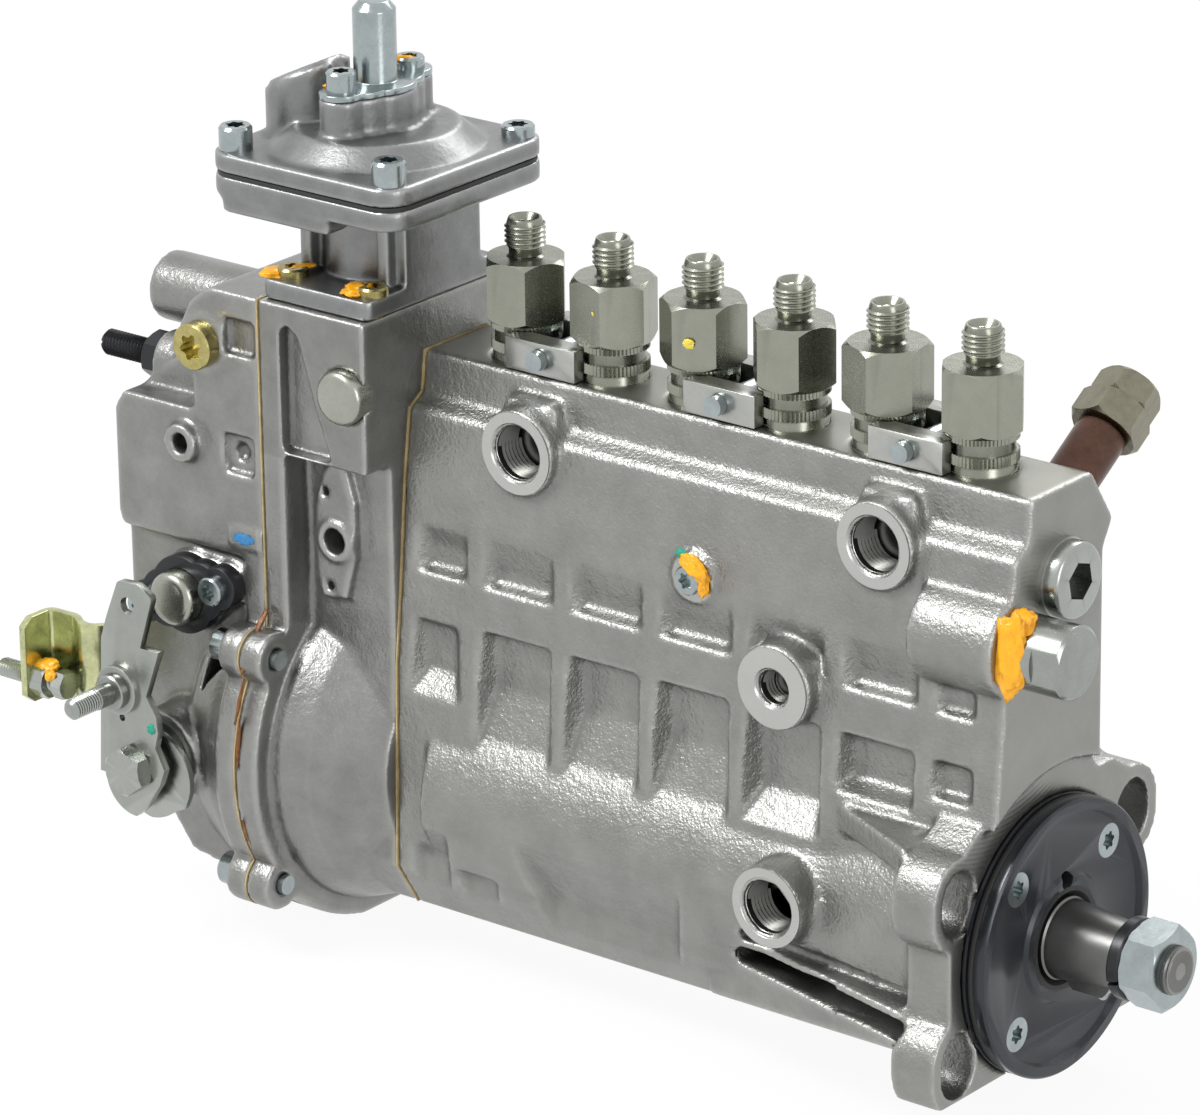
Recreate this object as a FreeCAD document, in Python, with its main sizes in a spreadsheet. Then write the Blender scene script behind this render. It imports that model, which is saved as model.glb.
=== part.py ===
import FreeCAD, Part
import os
import re

import Sketcher
from FreeCAD import Placement, Rotation, Vector

# In-line diesel injection pump, six plungers, flange mounted, with a flyweight governor and a boost unit on top.
# Frame: X along the camshaft towards the drive end, Y to the back, Z up. The origin is where the camshaft axis
# meets the mounting face of the flange. All sizes are millimetres.

SIZES = {
    "cylinders": 6,
    "pitch": 32,
    "last_plunger_x": -23,
    "fit": 0.05,
    # pump housing
    "rear_x": -208.6,
    "end_face_x": 4.4,
    "top_z": 132.6,
    "top_front_y": -15.1,
    "top_back_y": 13.7,
    "neck_front_y": -16.6,
    "neck_z": 120.5,
    "shoulder_front_y": -22.5,
    "shoulder_z": 117,
    "wall_front_y": -25.4,
    "wall_z": 96,
    "belt_front_y": -28.2,
    "belt_z": 66,
    "waist_front_y": -31,
    "waist_z": 40,
    "foot_front_y": -33,
    "foot_z": -22,
    "base_half_width": 24,
    "base_z": -36.6,
    "chamfer_back_y": 24,
    "chamfer_back_z": 116.6,
    "wall_back_y": 19.6,
    "wall_back_top_z": 109,
    "wall_back_low_z": 49,
    "bulge_radius": 38,
    "bulge_start_x": -196,
    "end_recess_radius": 51,
    # rows of pockets on the front
    "rib_width": 4.6,
    "rib_shift": 1.5,
    "pocket_lead": 6,
    "upper_pocket_top_z": 91,
    "upper_pocket_low_z": 70,
    "upper_pocket_depth": 5,
    "upper_pocket_rise": 3.2,
    "lower_pocket_top_z": 58,
    "lower_pocket_low_z": 19,
    "lower_pocket_depth": 7.5,
    "lower_pocket_fall": 2.8,
    "side_pocket_depth": 4,
    "foot_pocket_depth": 5,
    "foot_pocket_low_z": -31,
    "foot_pocket_top_z": -9,
    "groove_height": 5,
    # flange
    "flange_thickness": 15,
    "flange_top_z": 38,
    "ear_radius": 12,
    "ear_y": 41.5,
    "upper_ear_z": 22.5,
    "lower_ear_z": -25.5,
    "slot_radius": 7.5,
    "slot_travel": 4,
    "web_half_width": 46,
    "shelf_start_x": -50,
    "shelf_height": 8,
    "keel_start_x": -96,
    "keel_height": 26,
    "flare_radius": 44,
    "flare_length": 36,
    # threaded ports and bosses on the front
    "port_radius": 12.75,
    "port_thread_radius": 8,
    "port_depth": 14,
    "port_face_y": -27.5,
    "port_z": 113.6,
    "rear_port_x": -165.3,
    "drive_port_x": -39.7,
    "oil_port_x": -63.6,
    "oil_port_z": 6.4,
    "oil_port_face_y": -45,
    "oil_port_radius": 12,
    "lug_x": -69.6,
    "lug_z": 67,
    "lug_face_y": -34,
    "lug_radius": 12.5,
    "lug_hole_radius": 5,
    "guide_x": -102.6,
    "guide_z": 90,
    "guide_boss_radius": 7.5,
    "guide_boss_y": -27.4,
    # camshaft and its bearings
    "chamber_radius": 31,
    "chamber_rear_x": -192,
    "bearing_radius": 26,
    "bearing_split_radius": 21.5,
    "bearing_width": 8,
    "rear_bearing_x": -206,
    "journal_radius": 12.5,
    "camshaft_radius": 11,
    "seal_shaft_radius": 12,
    "taper_start_x": 6.9,
    "taper_length": 20.5,
    "taper_big_radius": 11.5,
    "taper_small_radius": 9.45,
    "shaft_thread_radius": 7,
    "shaft_end_x": 44.6,
    "cam_base_radius": 14.5,
    "cam_nose_radius": 6,
    "cam_lift": 11,
    "cam_width": 16,
    "key_width": 4,
    "key_radius": 8,
    "key_x": 15,
    "washer_radius": 11.8,
    "washer_thickness": 4,
    "nut_flats": 22,
    "nut_length": 11,
    # drive end cover
    "pilot_radius": 40.3,
    "pilot_length": 6.9,
    "cover_seat_depth": 1.5,
    "cover_seat_clearance": 0.3,
    "cover_undercut": 0.8,
    "spigot_length": 1.5,
    "seal_radius": 15,
    "seal_length": 6,
    "cover_screw_offset": 21.7,
    "cover_screw_head_radius": 5,
    "cover_screw_radius": 3,
    "cover_screw_length": 14,
    "o_ring_groove_x": 2.4,
    "o_ring_radius": 1.5,
    # tappets and pumping elements
    "tappet_radius": 13,
    "tappet_length": 32,
    "tappet_low_z": 30,
    "roller_radius": 9,
    "roller_width": 13,
    "roller_clearance": 0.15,
    "roller_pin_radius": 3.5,
    "plunger_radius": 5,
    "plunger_top_z": 112,
    "plunger_foot_radius": 8,
    "plunger_foot_height": 2,
    "vane_thickness": 3,
    "vane_reach": 8.4,
    "vane_overhang": 2.5,
    "slot_height": 2.6,
    "spring_outer_radius": 12,
    "spring_inner_radius": 8.8,
    "spring_top_z": 80,
    "sleeve_radius": 9.2,
    "sleeve_bore_radius": 7.6,
    "sleeve_low_z": 81,
    "sleeve_top_z": 96,
    "barrel_neck_radius": 7.5,
    "barrel_low_z": 84,
    "barrel_radius": 9.6,
    "barrel_shoulder_z": 98,
    "barrel_top_z": 114,
    "valve_radius": 4,
    "valve_length": 11,
    # control rack
    "rack_y": -20.5,
    "rack_z": 92,
    "rack_radius": 3.5,
    "rack_rear_x": -238,
    "rack_front_x": 8,
    "rack_chamber_top_z": 97.5,
    "rack_chamber_front_y": -24.3,
    "rack_chamber_back_y": 13,
    "arm_reach": 17.5,
    "arm_tip_radius": 2.5,
    "arm_thickness": 4,
    "notch_clearance": 0.7,
    "cap_radius": 10.5,
    "cap_end_x": 23.7,
    "cap_thread_radius": 8,
    "cap_bore_radius": 4.6,
    "cap_boss_radius": 14.5,
    "gallery_y": -1.5,
    "gallery_z": 107,
    "gallery_head_radius": 11,
    "gallery_head_length": 5.5,
    "gallery_thread_radius": 8,
    "gallery_thread_length": 8,
    "gallery_ring_thickness": 1.5,
    "gallery_socket_flats": 10,
    # delivery valve holders
    "holder_collar_radius": 9.75,
    "holder_knurl_radius": 10.3,
    "holder_groove_radius": 9.25,
    "holder_collar_height": 2,
    "lower_knurl_height": 3.8,
    "holder_groove_height": 2.6,
    "upper_knurl_height": 2.6,
    "holder_hex_flats": 22,
    "holder_hex_height": 18.5,
    "stud_neck_radius": 4.75,
    "stud_neck_height": 2.5,
    "stud_radius": 6,
    "stud_height": 8.9,
    "stud_cone_radius": 4.1,
    "stud_bore_radius": 1.5,
    # locking jaws between the holders
    "jaw_width": 25,
    "jaw_height": 9.4,
    "jaw_front_y": -14,
    "jaw_depth": 7,
    "jaw_screw_radius": 3,
    "jaw_screw_reach": 3,
    # overflow valve
    "overflow_x": -8,
    "overflow_y": 18.9,
    "overflow_z": 124.6,
    "overflow_tilt": 57.4,
    "overflow_radius": 7.5,
    "overflow_length": 20,
    # governor housing
    "gasket_thickness": 0.5,
    "cover_joint_x": -248.6,
    "governor_radius": 58.5,
    "governor_rim_width": 8,
    "governor_z": 4,
    "governor_neck_radius": 36,
    "governor_bulge_radius": 52,
    "governor_wall": 5,
    "block_front_y": -42,
    "block_back_y": 18,
    "block_top_z": 147,
    "block_low_z": 101,
    "mid_front_y": -31,
    "mid_back_y": 24,
    "plug_boss_x": -216.7,
    "plug_drop": 23,
    "plug_radius": 8.2,
    "plug_height": 3.5,
    "lug_plate_x": -227.2,
    "lug_plate_z": 76,
    "block_pocket_depth": 5,
    # governor cover
    "cover_end_x": -306.2,
    "cover_back_y": 36,
    "cover_wall": 5,
    "tube_radius": 10.5,
    "tube_y": -10,
    "tube_drop": 16,
    "tube_end_x": -311,
    "adjuster_y": -22,
    "adjuster_drop": 33.7,
    "adjuster_radius": 4,
    "adjuster_end_x": -326.6,
    "adjuster_length": 34,
    "adjuster_nut_flats": 13,
    "sealing_plug_x": -269.9,
    "sealing_plug_drop": 17.4,
    "sealing_plug_radius": 7,
    "retainer_x": -277.4,
    "retainer_z": 51.3,
    "retainer_screw_offset": 15,
    "retainer_height": 5,
    "cover_bolt_angle": 37,
    "cover_bolt_outset": 0.5,
    "cover_bolt_radius": 3,
    "cover_bolt_head_radius": 5,
    "cover_bolt_head_height": 6,
    "cover_bolt_room": 12,
    "cover_step": 3,
    "cover_step_z": 66,
    "cover_notch_drop": 39,
    "cover_notch_length": 31,
    "cover_notch_height": 16,
    "cover_notch_depth": 10,
    "side_room_depth": 8,
    # governor inside
    "carrier_x": -215,
    "carrier_radius": 26,
    "carrier_thickness": 6,
    "weight_pivot_z": 22,
    "weight_pivot_x": -226,
    "weight_thickness": 12,
    "weight_width": 30,
    "weight_length": 20,
    "weight_pin_radius": 3,
    "governor_sleeve_radius": 9,
    "governor_sleeve_length": 22,
    "governor_spring_radius": 12,
    "governor_spring_length": 22,
    # control lever
    "return_disc_radius": 17,
    "return_sleeve_radius": 11,
    "return_sleeve_room": 0.6,
    "pivot_boss_height": 13,
    "pivot_x": -280.9,
    "pivot_z": 2,
    "control_shaft_radius": 7,
    "control_shaft_end_y": -13,
    "lever_gap": 5.5,
    "lever_thickness": 2.5,
    "lever_hole_x": -281.2,
    "lever_hole_z": 53,
    "stud_x": -285.5,
    "stud_z": 26,
    # bracket and stop screw of the lever
    "bracket_left_x": -335,
    "bracket_right_x": -301,
    "bracket_setback": 10,
    "bracket_thickness": 2,
    "bracket_flange": 12,
    "bracket_low_z": 12,
    "bracket_top_z": 44,
    "stop_screw_setback": 4,
    "stop_screw_z": 19,
    "stop_screw_radius": 3,
    "stop_screw_length": 34,
    "stop_nut_flats": 10,
    # boost unit
    "boost_x": -227.6,
    "boost_y": -11.5,
    "boost_plate_thickness": 6,
    "column_half_x": 19,
    "column_half_y": 15,
    "flange_half": 35.5,
    "boost_screw_half": 28.6,
    "column_height": 30.5,
    "lower_flange_height": 6.7,
    "upper_flange_height": 6.3,
    "dome_height": 6,
    "boss_height": 10.9,
    "flange_corner": 9,
    "air_port_x": -249.9,
    "air_port_y": -15.5,
    "air_port_height": 18,
    "air_port_radius": 12.3,
    "air_port_bore_radius": 7.5,
    "air_port_tilt": 26,
    "pin_cap_height": 25.2,
    "diaphragm_thickness": 1.2,
    "cap_plate_thickness": 1.8,
    "pin_cap_radius": 6.3,
    "rod_radius": 4,
    "rod_travel": 8,
    "rod_disc_radius": 13,
    "column_core_radius": 16,
}

# places that follow from the sizes above
DERIVED = {
    "drive_bearing_x": "-cover_seat_depth - spigot_length - bearing_width",
    "chamber_front_x": "drive_bearing_x",
    "rack_chamber_low_z": "rack_z - rack_radius - 1",
    "cover_front_y": "block_front_y + cover_step",
    "air_port_z": "boost_flange_top_z + air_port_height",
    "bolt_circle": "governor_radius + cover_bolt_outset",
    "cover_bolt_y": "bolt_circle * cos(cover_bolt_angle * 1 deg)",
    "cover_bolt_top_z": "governor_z + bolt_circle * sin(cover_bolt_angle * 1 deg)",
    "cover_bolt_low_z": "governor_z - bolt_circle * sin(cover_bolt_angle * 1 deg)",
    "lever_y": "-governor_radius - lever_gap",
    "bracket_y": "lever_y + bracket_setback",
    "stop_screw_y": "lever_y + stop_screw_setback",
    "plug_z": "block_top_z - plug_drop",
    "tube_z": "block_top_z - tube_drop",
    "adjuster_z": "block_top_z - adjuster_drop",
    "cover_notch_z": "block_top_z - cover_notch_drop",
    "sealing_plug_z": "block_top_z - sealing_plug_drop",
    "boost_flange_low_z": "block_top_z + column_height",
    "diaphragm_z": "boost_flange_low_z + lower_flange_height",
    "boost_flange_top_z": "diaphragm_z + upper_flange_height",
    "boost_dome_top_z": "boost_flange_top_z + dome_height",
    "boost_boss_top_z": "boost_dome_top_z + boss_height",
    "pin_cap_top_z": "boost_boss_top_z + pin_cap_height",
}

doc = FreeCAD.newDocument("InjectionPump")
sheet = doc.addObject("Spreadsheet::Sheet", "Sizes")
for row, (alias, number) in enumerate(SIZES.items(), start=1):
    sheet.set(f"A{row}", alias)
    sheet.set(f"B{row}", str(number))
    sheet.setAlias(f"B{row}", alias)
doc.recompute()

DIRECTIONS = {
    "+Z": Rotation(),
    "-Z": Rotation(Vector(1, 0, 0), 180),
    "+X": Rotation(Vector(0, 1, 0), 90),
    "-X": Rotation(Vector(0, 1, 0), -90),
    "+Y": Rotation(Vector(1, 0, 0), -90),
    "-Y": Rotation(Vector(1, 0, 0), 90),
}
WORD = re.compile(r"[a-z][a-z_0-9]*")
CYLINDERS = range(SIZES["cylinders"])
LAST = SIZES["cylinders"] - 1
nodes = []
outlines = {}
ruler = doc.addObject("Part::Box", "Ruler")


def cells(text):
    """An expression in plain size names, with each name pointed at its cell."""

    def cell(match):
        word = match.group()
        if word in DERIVED:
            return "(" + cells(DERIVED[word]) + ")"
        return "Sizes." + word if word in SIZES else word

    return WORD.sub(cell, str(text))


def bind(thing, prop, text):
    thing.setExpression(prop, cells(text))


def place(thing, at, rotation=Rotation()):
    if isinstance(rotation, str):
        rotation = DIRECTIONS[rotation]
    thing.Placement = Placement(Vector(), rotation)
    for letter, text in zip("xyz", at):
        bind(thing, "Placement.Base." + letter, text)
    return thing


def cylinder(radius, length, at, facing="+Z"):
    solid = doc.addObject("Part::Cylinder", "Cylinder")
    bind(solid, "Radius", radius)
    bind(solid, "Height", length)
    return place(solid, at, facing)


def cone(low_radius, high_radius, length, at, facing="+Z"):
    solid = doc.addObject("Part::Cone", "Cone")
    bind(solid, "Radius1", low_radius)
    bind(solid, "Radius2", high_radius)
    bind(solid, "Height", length)
    return place(solid, at, facing)


def box(low, high, rotation=Rotation()):
    """A box between two corners, each given as three expressions."""
    solid = doc.addObject("Part::Box", "Box")
    for prop, a, b in zip(("Length", "Width", "Height"), low, high):
        bind(solid, prop, f"({b}) - ({a})")
    return place(solid, low, rotation)


def prism(flats, length, at, facing="+Z", turn=0):
    """A hexagonal prism given by its width across flats."""
    solid = doc.addObject("Part::Prism", "Prism")
    solid.Polygon = 6
    bind(solid, "Circumradius", f"({flats}) / sqrt(3)")
    bind(solid, "Height", length)
    return place(solid, at, DIRECTIONS[facing] * Rotation(Vector(0, 0, 1), turn))


def fuse(*things):
    solid = doc.addObject("Part::MultiFuse", "Fusion")
    solid.Shapes = list(things)
    solid.Refine = True
    return solid


def cut(base, *tools):
    solid = doc.addObject("Part::Cut", "Cut")
    solid.Base = base
    solid.Tool = tools[0] if len(tools) == 1 else fuse(*tools)
    solid.Refine = True
    return solid


def common(first, second):
    solid = doc.addObject("Part::Common", "Common")
    solid.Base = first
    solid.Tool = second
    return solid


def scoop(sides, heights, wall_y, depth, flank="0.6", fall="0.3", rise="0.3"):
    """A pocket in a front wall that narrows to its floor, by flank, fall and rise for each millimetre of depth."""
    (left, right), (low, high) = sides, heights
    solid = doc.addObject("Part::Wedge", "Scoop")
    ends = (
        ("Xmin", "X2min", left, "-", flank),
        ("Xmax", "X2max", right, "+", flank),
        ("Zmin", "Z2min", low, "-", fall),
        ("Zmax", "Z2max", high, "+", rise),
    )
    bind(solid, "Ymax", f"({wall_y}) + {depth}")
    bind(solid, "Ymin", f"({wall_y}) - pocket_lead")
    for mouth, floor, edge, outwards, slope in ends:
        inwards = "+" if outwards == "-" else "-"
        bind(solid, mouth, f"({edge}) {outwards} {slope} * pocket_lead")
        bind(solid, floor, f"({edge}) {inwards} {slope} * {depth}")
    return solid


def group(things):
    solid = doc.addObject("Part::Compound", "Group")
    solid.Links = list(things)
    return solid


def plane_of(body, role):
    return [f for f in body.Origin.OriginFeatures if f.Role == role][0]


def sketch_outline(body, role, points):
    """A closed outline of straight lines whose every corner is bound to the sheet."""
    sketch = body.newObject("Sketcher::SketchObject", "Outline")
    sketch.AttachmentSupport = [(plane_of(body, role), "")]
    sketch.MapMode = "FlatFace"
    count = len(points)
    corners = [Vector(number_of(u), number_of(v), 0) for u, v in points]
    for i in range(count):
        sketch.addGeometry(Part.LineSegment(corners[i], corners[(i + 1) % count]), False)
    for i in range(count):
        sketch.addConstraint(Sketcher.Constraint("Coincident", i, 2, (i + 1) % count, 1))
    for i, (u, v) in enumerate(points):
        for kind, text, number in (("DistanceX", u, corners[i].x), ("DistanceY", v, corners[i].y)):
            index = sketch.addConstraint(Sketcher.Constraint(kind, -1, 1, i, 1, number))
            bind(sketch, f"Constraints[{index}]", text)
    outlines[body.Name] = sketch
    return sketch


def number_of(text):
    """The number that an expression gives now."""
    bind(ruler, "Placement.Base.x", text)
    ruler.recompute()
    return ruler.Placement.Base.x


def pad(role, points, start, length):
    """An outline drawn on an origin plane and padded along that plane's normal, from start."""
    body = doc.addObject("PartDesign::Body", "Padded")
    sketch = sketch_outline(body, role, points)
    bind(sketch, "AttachmentOffset.Base.z", start)
    feature = body.newObject("PartDesign::Pad", "Pad")
    feature.Profile = sketch
    bind(feature, "Length", length)
    body.Tip = feature
    return body


def turned(points, at, facing="+Z"):
    """A piece turned about its own Z axis from (radius, height) points."""
    body = doc.addObject("PartDesign::Body", "Turned")
    sketch = sketch_outline(body, "XZ_Plane", points)
    feature = body.newObject("PartDesign::Revolution", "Revolution")
    feature.Profile = sketch
    feature.ReferenceAxis = (sketch, ["V_Axis"])
    feature.Angle = 360
    body.Tip = feature
    return place(body, at, facing)


def node(label, thing):
    thing.Label = label
    nodes.append(thing)
    return thing


def round_corners(body, corners, radius):
    """Rounds the edges of a pad that stand on the given corners of its outline."""
    doc.recompute()
    feature = body.Tip
    frame = outlines[body.Name].Placement
    along = frame.Rotation.multVec(Vector(0, 0, 1))
    points = [frame.multVec(outlines[body.Name].Geometry[c].StartPoint) for c in corners]
    names = []
    for index, edge in enumerate(feature.Shape.Edges, start=1):
        first, last = edge.Vertexes[0].Point, edge.Vertexes[-1].Point
        upright = (last - first).cross(along).Length < 1e-6
        if upright and any((first - p).cross(along).Length < 1e-4 for p in points):
            names.append(f"Edge{index}")
    fillet = body.newObject("PartDesign::Fillet", "Round")
    fillet.Base = (feature, names)
    bind(fillet, "Radius", radius)
    body.Tip = fillet
    return body


def screw(head_radius, head_height, shank_radius, shank_length, at, facing="+Z"):
    """A screw seated at a point, with its round head facing outwards."""
    crown = f"{head_radius} * 0.75"
    outline = [
        ("0", f"-({shank_length})"),
        (shank_radius, f"-({shank_length})"),
        (shank_radius, "0"),
        (head_radius, "0"),
        (head_radius, f"{head_height} * 0.6"),
        (crown, head_height),
        ("0", head_height),
    ]
    return turned(outline, at, facing)


def hex_bolt(flats, head_height, shank_radius, shank_length, at, facing="+Z", turn=0):
    """A hexagon bolt seated at a point, with its head facing outwards."""
    back = {"+": "-", "-": "+"}[facing[0]] + facing[1]
    head = prism(flats, head_height, at, facing, turn)
    return fuse(head, cylinder(shank_radius, shank_length, at, back))


def plunger_x(k):
    """Where the axis of plunger k stands, counted from the governor end."""
    return f"(last_plunger_x - {LAST - k} * pitch)"


HOUSING_SECTION = [
    ("top_front_y", "top_z"),
    ("neck_front_y", "neck_z"),
    ("shoulder_front_y", "shoulder_z"),
    ("wall_front_y", "wall_z"),
    ("belt_front_y", "belt_z"),
    ("waist_front_y", "waist_z"),
    ("foot_front_y", "foot_z"),
    ("-base_half_width", "base_z"),
    ("base_half_width", "base_z"),
    ("-foot_front_y", "foot_z"),
    ("-waist_front_y", "waist_z - 10"),
    ("wall_back_y", "wall_back_low_z"),
    ("wall_back_y", "wall_back_top_z"),
    ("chamfer_back_y", "chamfer_back_z"),
    ("top_back_y", "top_z"),
]


def flange():
    """The mounting flange: a web across the body with four slotted ears."""
    web = pad(
        "YZ_Plane",
        [
            ("-web_half_width", "base_z"),
            ("web_half_width", "base_z"),
            ("web_half_width", "flange_top_z - 6"),
            ("web_half_width - 14", "flange_top_z + 4"),
            ("14 - web_half_width", "flange_top_z + 4"),
            ("-web_half_width", "flange_top_z - 6"),
        ],
        "-flange_thickness",
        "flange_thickness",
    )
    ears = [web]
    for side in ("-ear_y", "ear_y"):
        for middle in ("upper_ear_z", "lower_ear_z"):
            low, high = f"{middle} - slot_travel / 2", f"{middle} + slot_travel / 2"
            for height in (low, high):
                ears.append(cylinder("ear_radius", "flange_thickness", ("-flange_thickness", side, height), "+X"))
            corners = (f"{side} - ear_radius", low), (f"{side} + ear_radius", high)
            ears.append(box(("-flange_thickness", *corners[0]), ("0", *corners[1])))
    return ears


def flange_slots():
    tools = []
    for side in ("-ear_y", "ear_y"):
        for middle in ("upper_ear_z", "lower_ear_z"):
            low, high = f"{middle} - slot_travel / 2", f"{middle} + slot_travel / 2"
            for height in (low, high):
                tools.append(
                    cylinder("slot_radius", "flange_thickness + 4", ("-flange_thickness - 3", side, height), "+X")
                )
            corners = (f"{side} - slot_radius", low), (f"{side} + slot_radius", high)
            tools.append(box(("-flange_thickness - 3", *corners[0]), ("1", *corners[1])))
    return tools


def gussets():
    """The shelf above the upper ear and the keel that widens towards the lower ear, front and back."""
    pieces = []
    for sign in ("-", ""):
        pieces.append(
            pad(
                "XY_Plane",
                [
                    ("shelf_start_x", "0"),
                    ("shelf_start_x", f"{sign}(-waist_front_y)"),
                    ("-flange_thickness", f"{sign}(ear_y + ear_radius - 6)"),
                    ("-flange_thickness + 2", "0"),
                ],
                "flange_top_z - shelf_height - 1",
                "shelf_height",
            )
        )
        pieces.append(
            pad(
                "XY_Plane",
                [
                    ("keel_start_x", "0"),
                    ("keel_start_x", f"{sign}(base_half_width + 6)"),
                    ("-flange_thickness", f"{sign}(ear_y + ear_radius - 4)"),
                    ("-flange_thickness + 2", "0"),
                ],
                "base_z",
                "keel_height",
            )
        )
    flare_at = ("-flange_thickness - flare_length", "0", "0")
    pieces.append(cone("bulge_radius", "flare_radius", "flare_length", flare_at, "+X"))
    return pieces


def front_bosses():
    """Bosses cast on the front wall for the ports, the plain lug and the rack guide screw."""
    pieces = []
    for x in ("rear_port_x", "drive_port_x"):
        pieces.append(cylinder("port_radius", "-port_face_y - 10", (x, "port_face_y", "port_z"), "+Y"))
        web = [
            (f"{x} - port_radius", "port_z"),
            (f"{x} + port_radius", "port_z"),
            (f"{x} + port_radius - 4", "top_z - 5"),
            (f"{x} - port_radius + 4", "top_z - 5"),
        ]
        pieces.append(round_corners(pad("XZ_Plane", web, "10", "11.5"), [2, 3], "3"))
    pieces.append(
        cylinder("oil_port_radius", "-oil_port_face_y - 33", ("oil_port_x", "oil_port_face_y", "oil_port_z"), "+Y")
    )
    pieces.append(cylinder("lug_radius", "-lug_face_y - 22", ("lug_x", "lug_face_y", "lug_z"), "+Y"))
    pieces.append(cylinder("guide_boss_radius", "4", ("guide_x", "guide_boss_y", "guide_z"), "+Y"))
    pieces.append(cylinder("cap_boss_radius", "end_face_x + 24", ("-24", "rack_y", "rack_z"), "+X"))
    return pieces


def front_holes():
    tools = []
    for x in ("rear_port_x", "drive_port_x"):
        tools.append(cylinder("port_thread_radius", "port_depth", (x, "port_face_y", "port_z"), "+Y"))
    tools.append(
        cylinder("port_thread_radius", "port_depth", ("oil_port_x", "oil_port_face_y", "oil_port_z"), "+Y")
    )
    tools.append(cylinder("lug_hole_radius", "9", ("lug_x", "lug_face_y", "lug_z"), "+Y"))
    return tools


# the lower row's pockets beside the oil port and the flange are shorter: how far up they start, and how they fall
SHORT_BAYS = {3: ("5", "1.2"), 4: ("21", "0.4")}


def front_pockets():
    """Two rows of pockets between upright ribs that stand at the plungers, and the short ones at both ends."""
    tools = []
    for k in CYLINDERS[:-1]:
        left = f"{plunger_x(k)} + rib_width / 2 + rib_shift"
        right = f"{plunger_x(k + 1)} - rib_width / 2 + rib_shift"
        heights = ("upper_pocket_low_z", "upper_pocket_top_z")
        tools.append(
            scoop((left, right), heights, "belt_front_y", "upper_pocket_depth", "0.7", "0.3", "upper_pocket_rise")
        )
        lift, fall = SHORT_BAYS.get(k, ("0", "lower_pocket_fall"))
        heights = (f"lower_pocket_low_z + {lift}", "lower_pocket_top_z")
        tools.append(scoop((left, right), heights, "waist_front_y", "lower_pocket_depth", "0.45", fall))
    ends = ("rear_x + 5", f"{plunger_x(0)} - rib_width / 2 + rib_shift")
    tools.append(
        scoop(ends, ("upper_pocket_low_z", "upper_pocket_top_z - 3"), "belt_front_y", "upper_pocket_depth", rise="2")
    )
    heights = ("lower_pocket_low_z + 14", "lower_pocket_top_z")
    tools.append(scoop(ends, heights, "waist_front_y", "lower_pocket_depth - 1.5", fall="1.2"))
    ends = (f"{plunger_x(LAST)} + rib_width / 2 + rib_shift", "-4.5")
    for heights, wall_y in (
        (("upper_pocket_low_z", "upper_pocket_low_z + 10"), "belt_front_y"),
        (("lower_pocket_top_z - 12", "lower_pocket_top_z - 1"), "waist_front_y + 1.5"),
    ):
        tools.append(scoop(ends, heights, wall_y, "side_pocket_depth"))
    return tools


def low_pockets():
    """The long pocket, the two short ones and the two grooves along the foot of the front."""
    heights = ("foot_pocket_low_z", "foot_pocket_top_z")
    wall_y = "foot_front_y - 1"
    tools = [
        scoop(("-157", "-103"), heights, wall_y, "foot_pocket_depth", "0.8", "0.4", "2.2"),
        scoop(("-186", "-170"), ("foot_pocket_low_z + 4", "-17"), wall_y, "side_pocket_depth"),
        scoop(("rear_x + 5", "-188"), ("foot_pocket_low_z + 4", "-10"), wall_y, "side_pocket_depth", rise="1.5"),
    ]
    for low in ("base_z + 9", "base_z + 18"):
        tools.append(scoop(("keel_start_x + 2", "-28"), (low, f"{low} + groove_height"), "foot_front_y - 4", "3"))
    return tools


def housing_inside():
    """Cam chamber, bearing bores, tappet bores and the chamber round the control rack."""
    tools = [
        cylinder("bearing_radius", "end_face_x - rear_x + 2", ("rear_x - 1", "0", "0"), "+X"),
        cylinder(
            "chamber_radius", "chamber_front_x - chamber_rear_x", ("chamber_rear_x", "0", "0"), "+X"
        ),
        cylinder("rack_radius + fit", "end_face_x - rear_x + 2", ("rear_x - 1", "rack_y", "rack_z"), "+X"),
        cylinder("pilot_radius + cover_seat_clearance", "cover_seat_depth + 1", ("-cover_seat_depth", "0", "0"), "+X"),
        box(
            (f"{plunger_x(0)} - 14", "rack_chamber_front_y", "rack_chamber_low_z"),
            (f"{plunger_x(LAST)} + 14", "rack_chamber_back_y", "rack_chamber_top_z"),
        ),
    ]
    for k in CYLINDERS:
        tools.append(
            cylinder("tappet_radius + fit", "rack_chamber_low_z + 1", (plunger_x(k), "0", "0"), "+Z")
        )
        tools.append(
            cylinder(
                "barrel_radius", "barrel_top_z - rack_chamber_low_z - 1",
                (plunger_x(k), "0", "rack_chamber_low_z + 1"), "+Z",
            )
        )
        tools.append(cylinder("holder_collar_radius", "top_z - barrel_top_z + 1", (plunger_x(k), "0", "barrel_top_z")))
    return tools


def cover_screw(y, z):
    outline = [
        ("0", "-cover_screw_length"),
        ("cover_screw_radius", "-cover_screw_length"),
        ("cover_screw_radius", "cover_screw_radius - cover_screw_head_radius"),
        ("cover_screw_head_radius", "0"),
        ("0", "0"),
    ]
    return turned(outline, ("pilot_length - 1.5", y, z), "+X")


cover_screws = [
    cover_screw(f"{a} * cover_screw_offset", f"{b} * cover_screw_offset") for a in (-1, 1) for b in (-1, 1)
]

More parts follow.
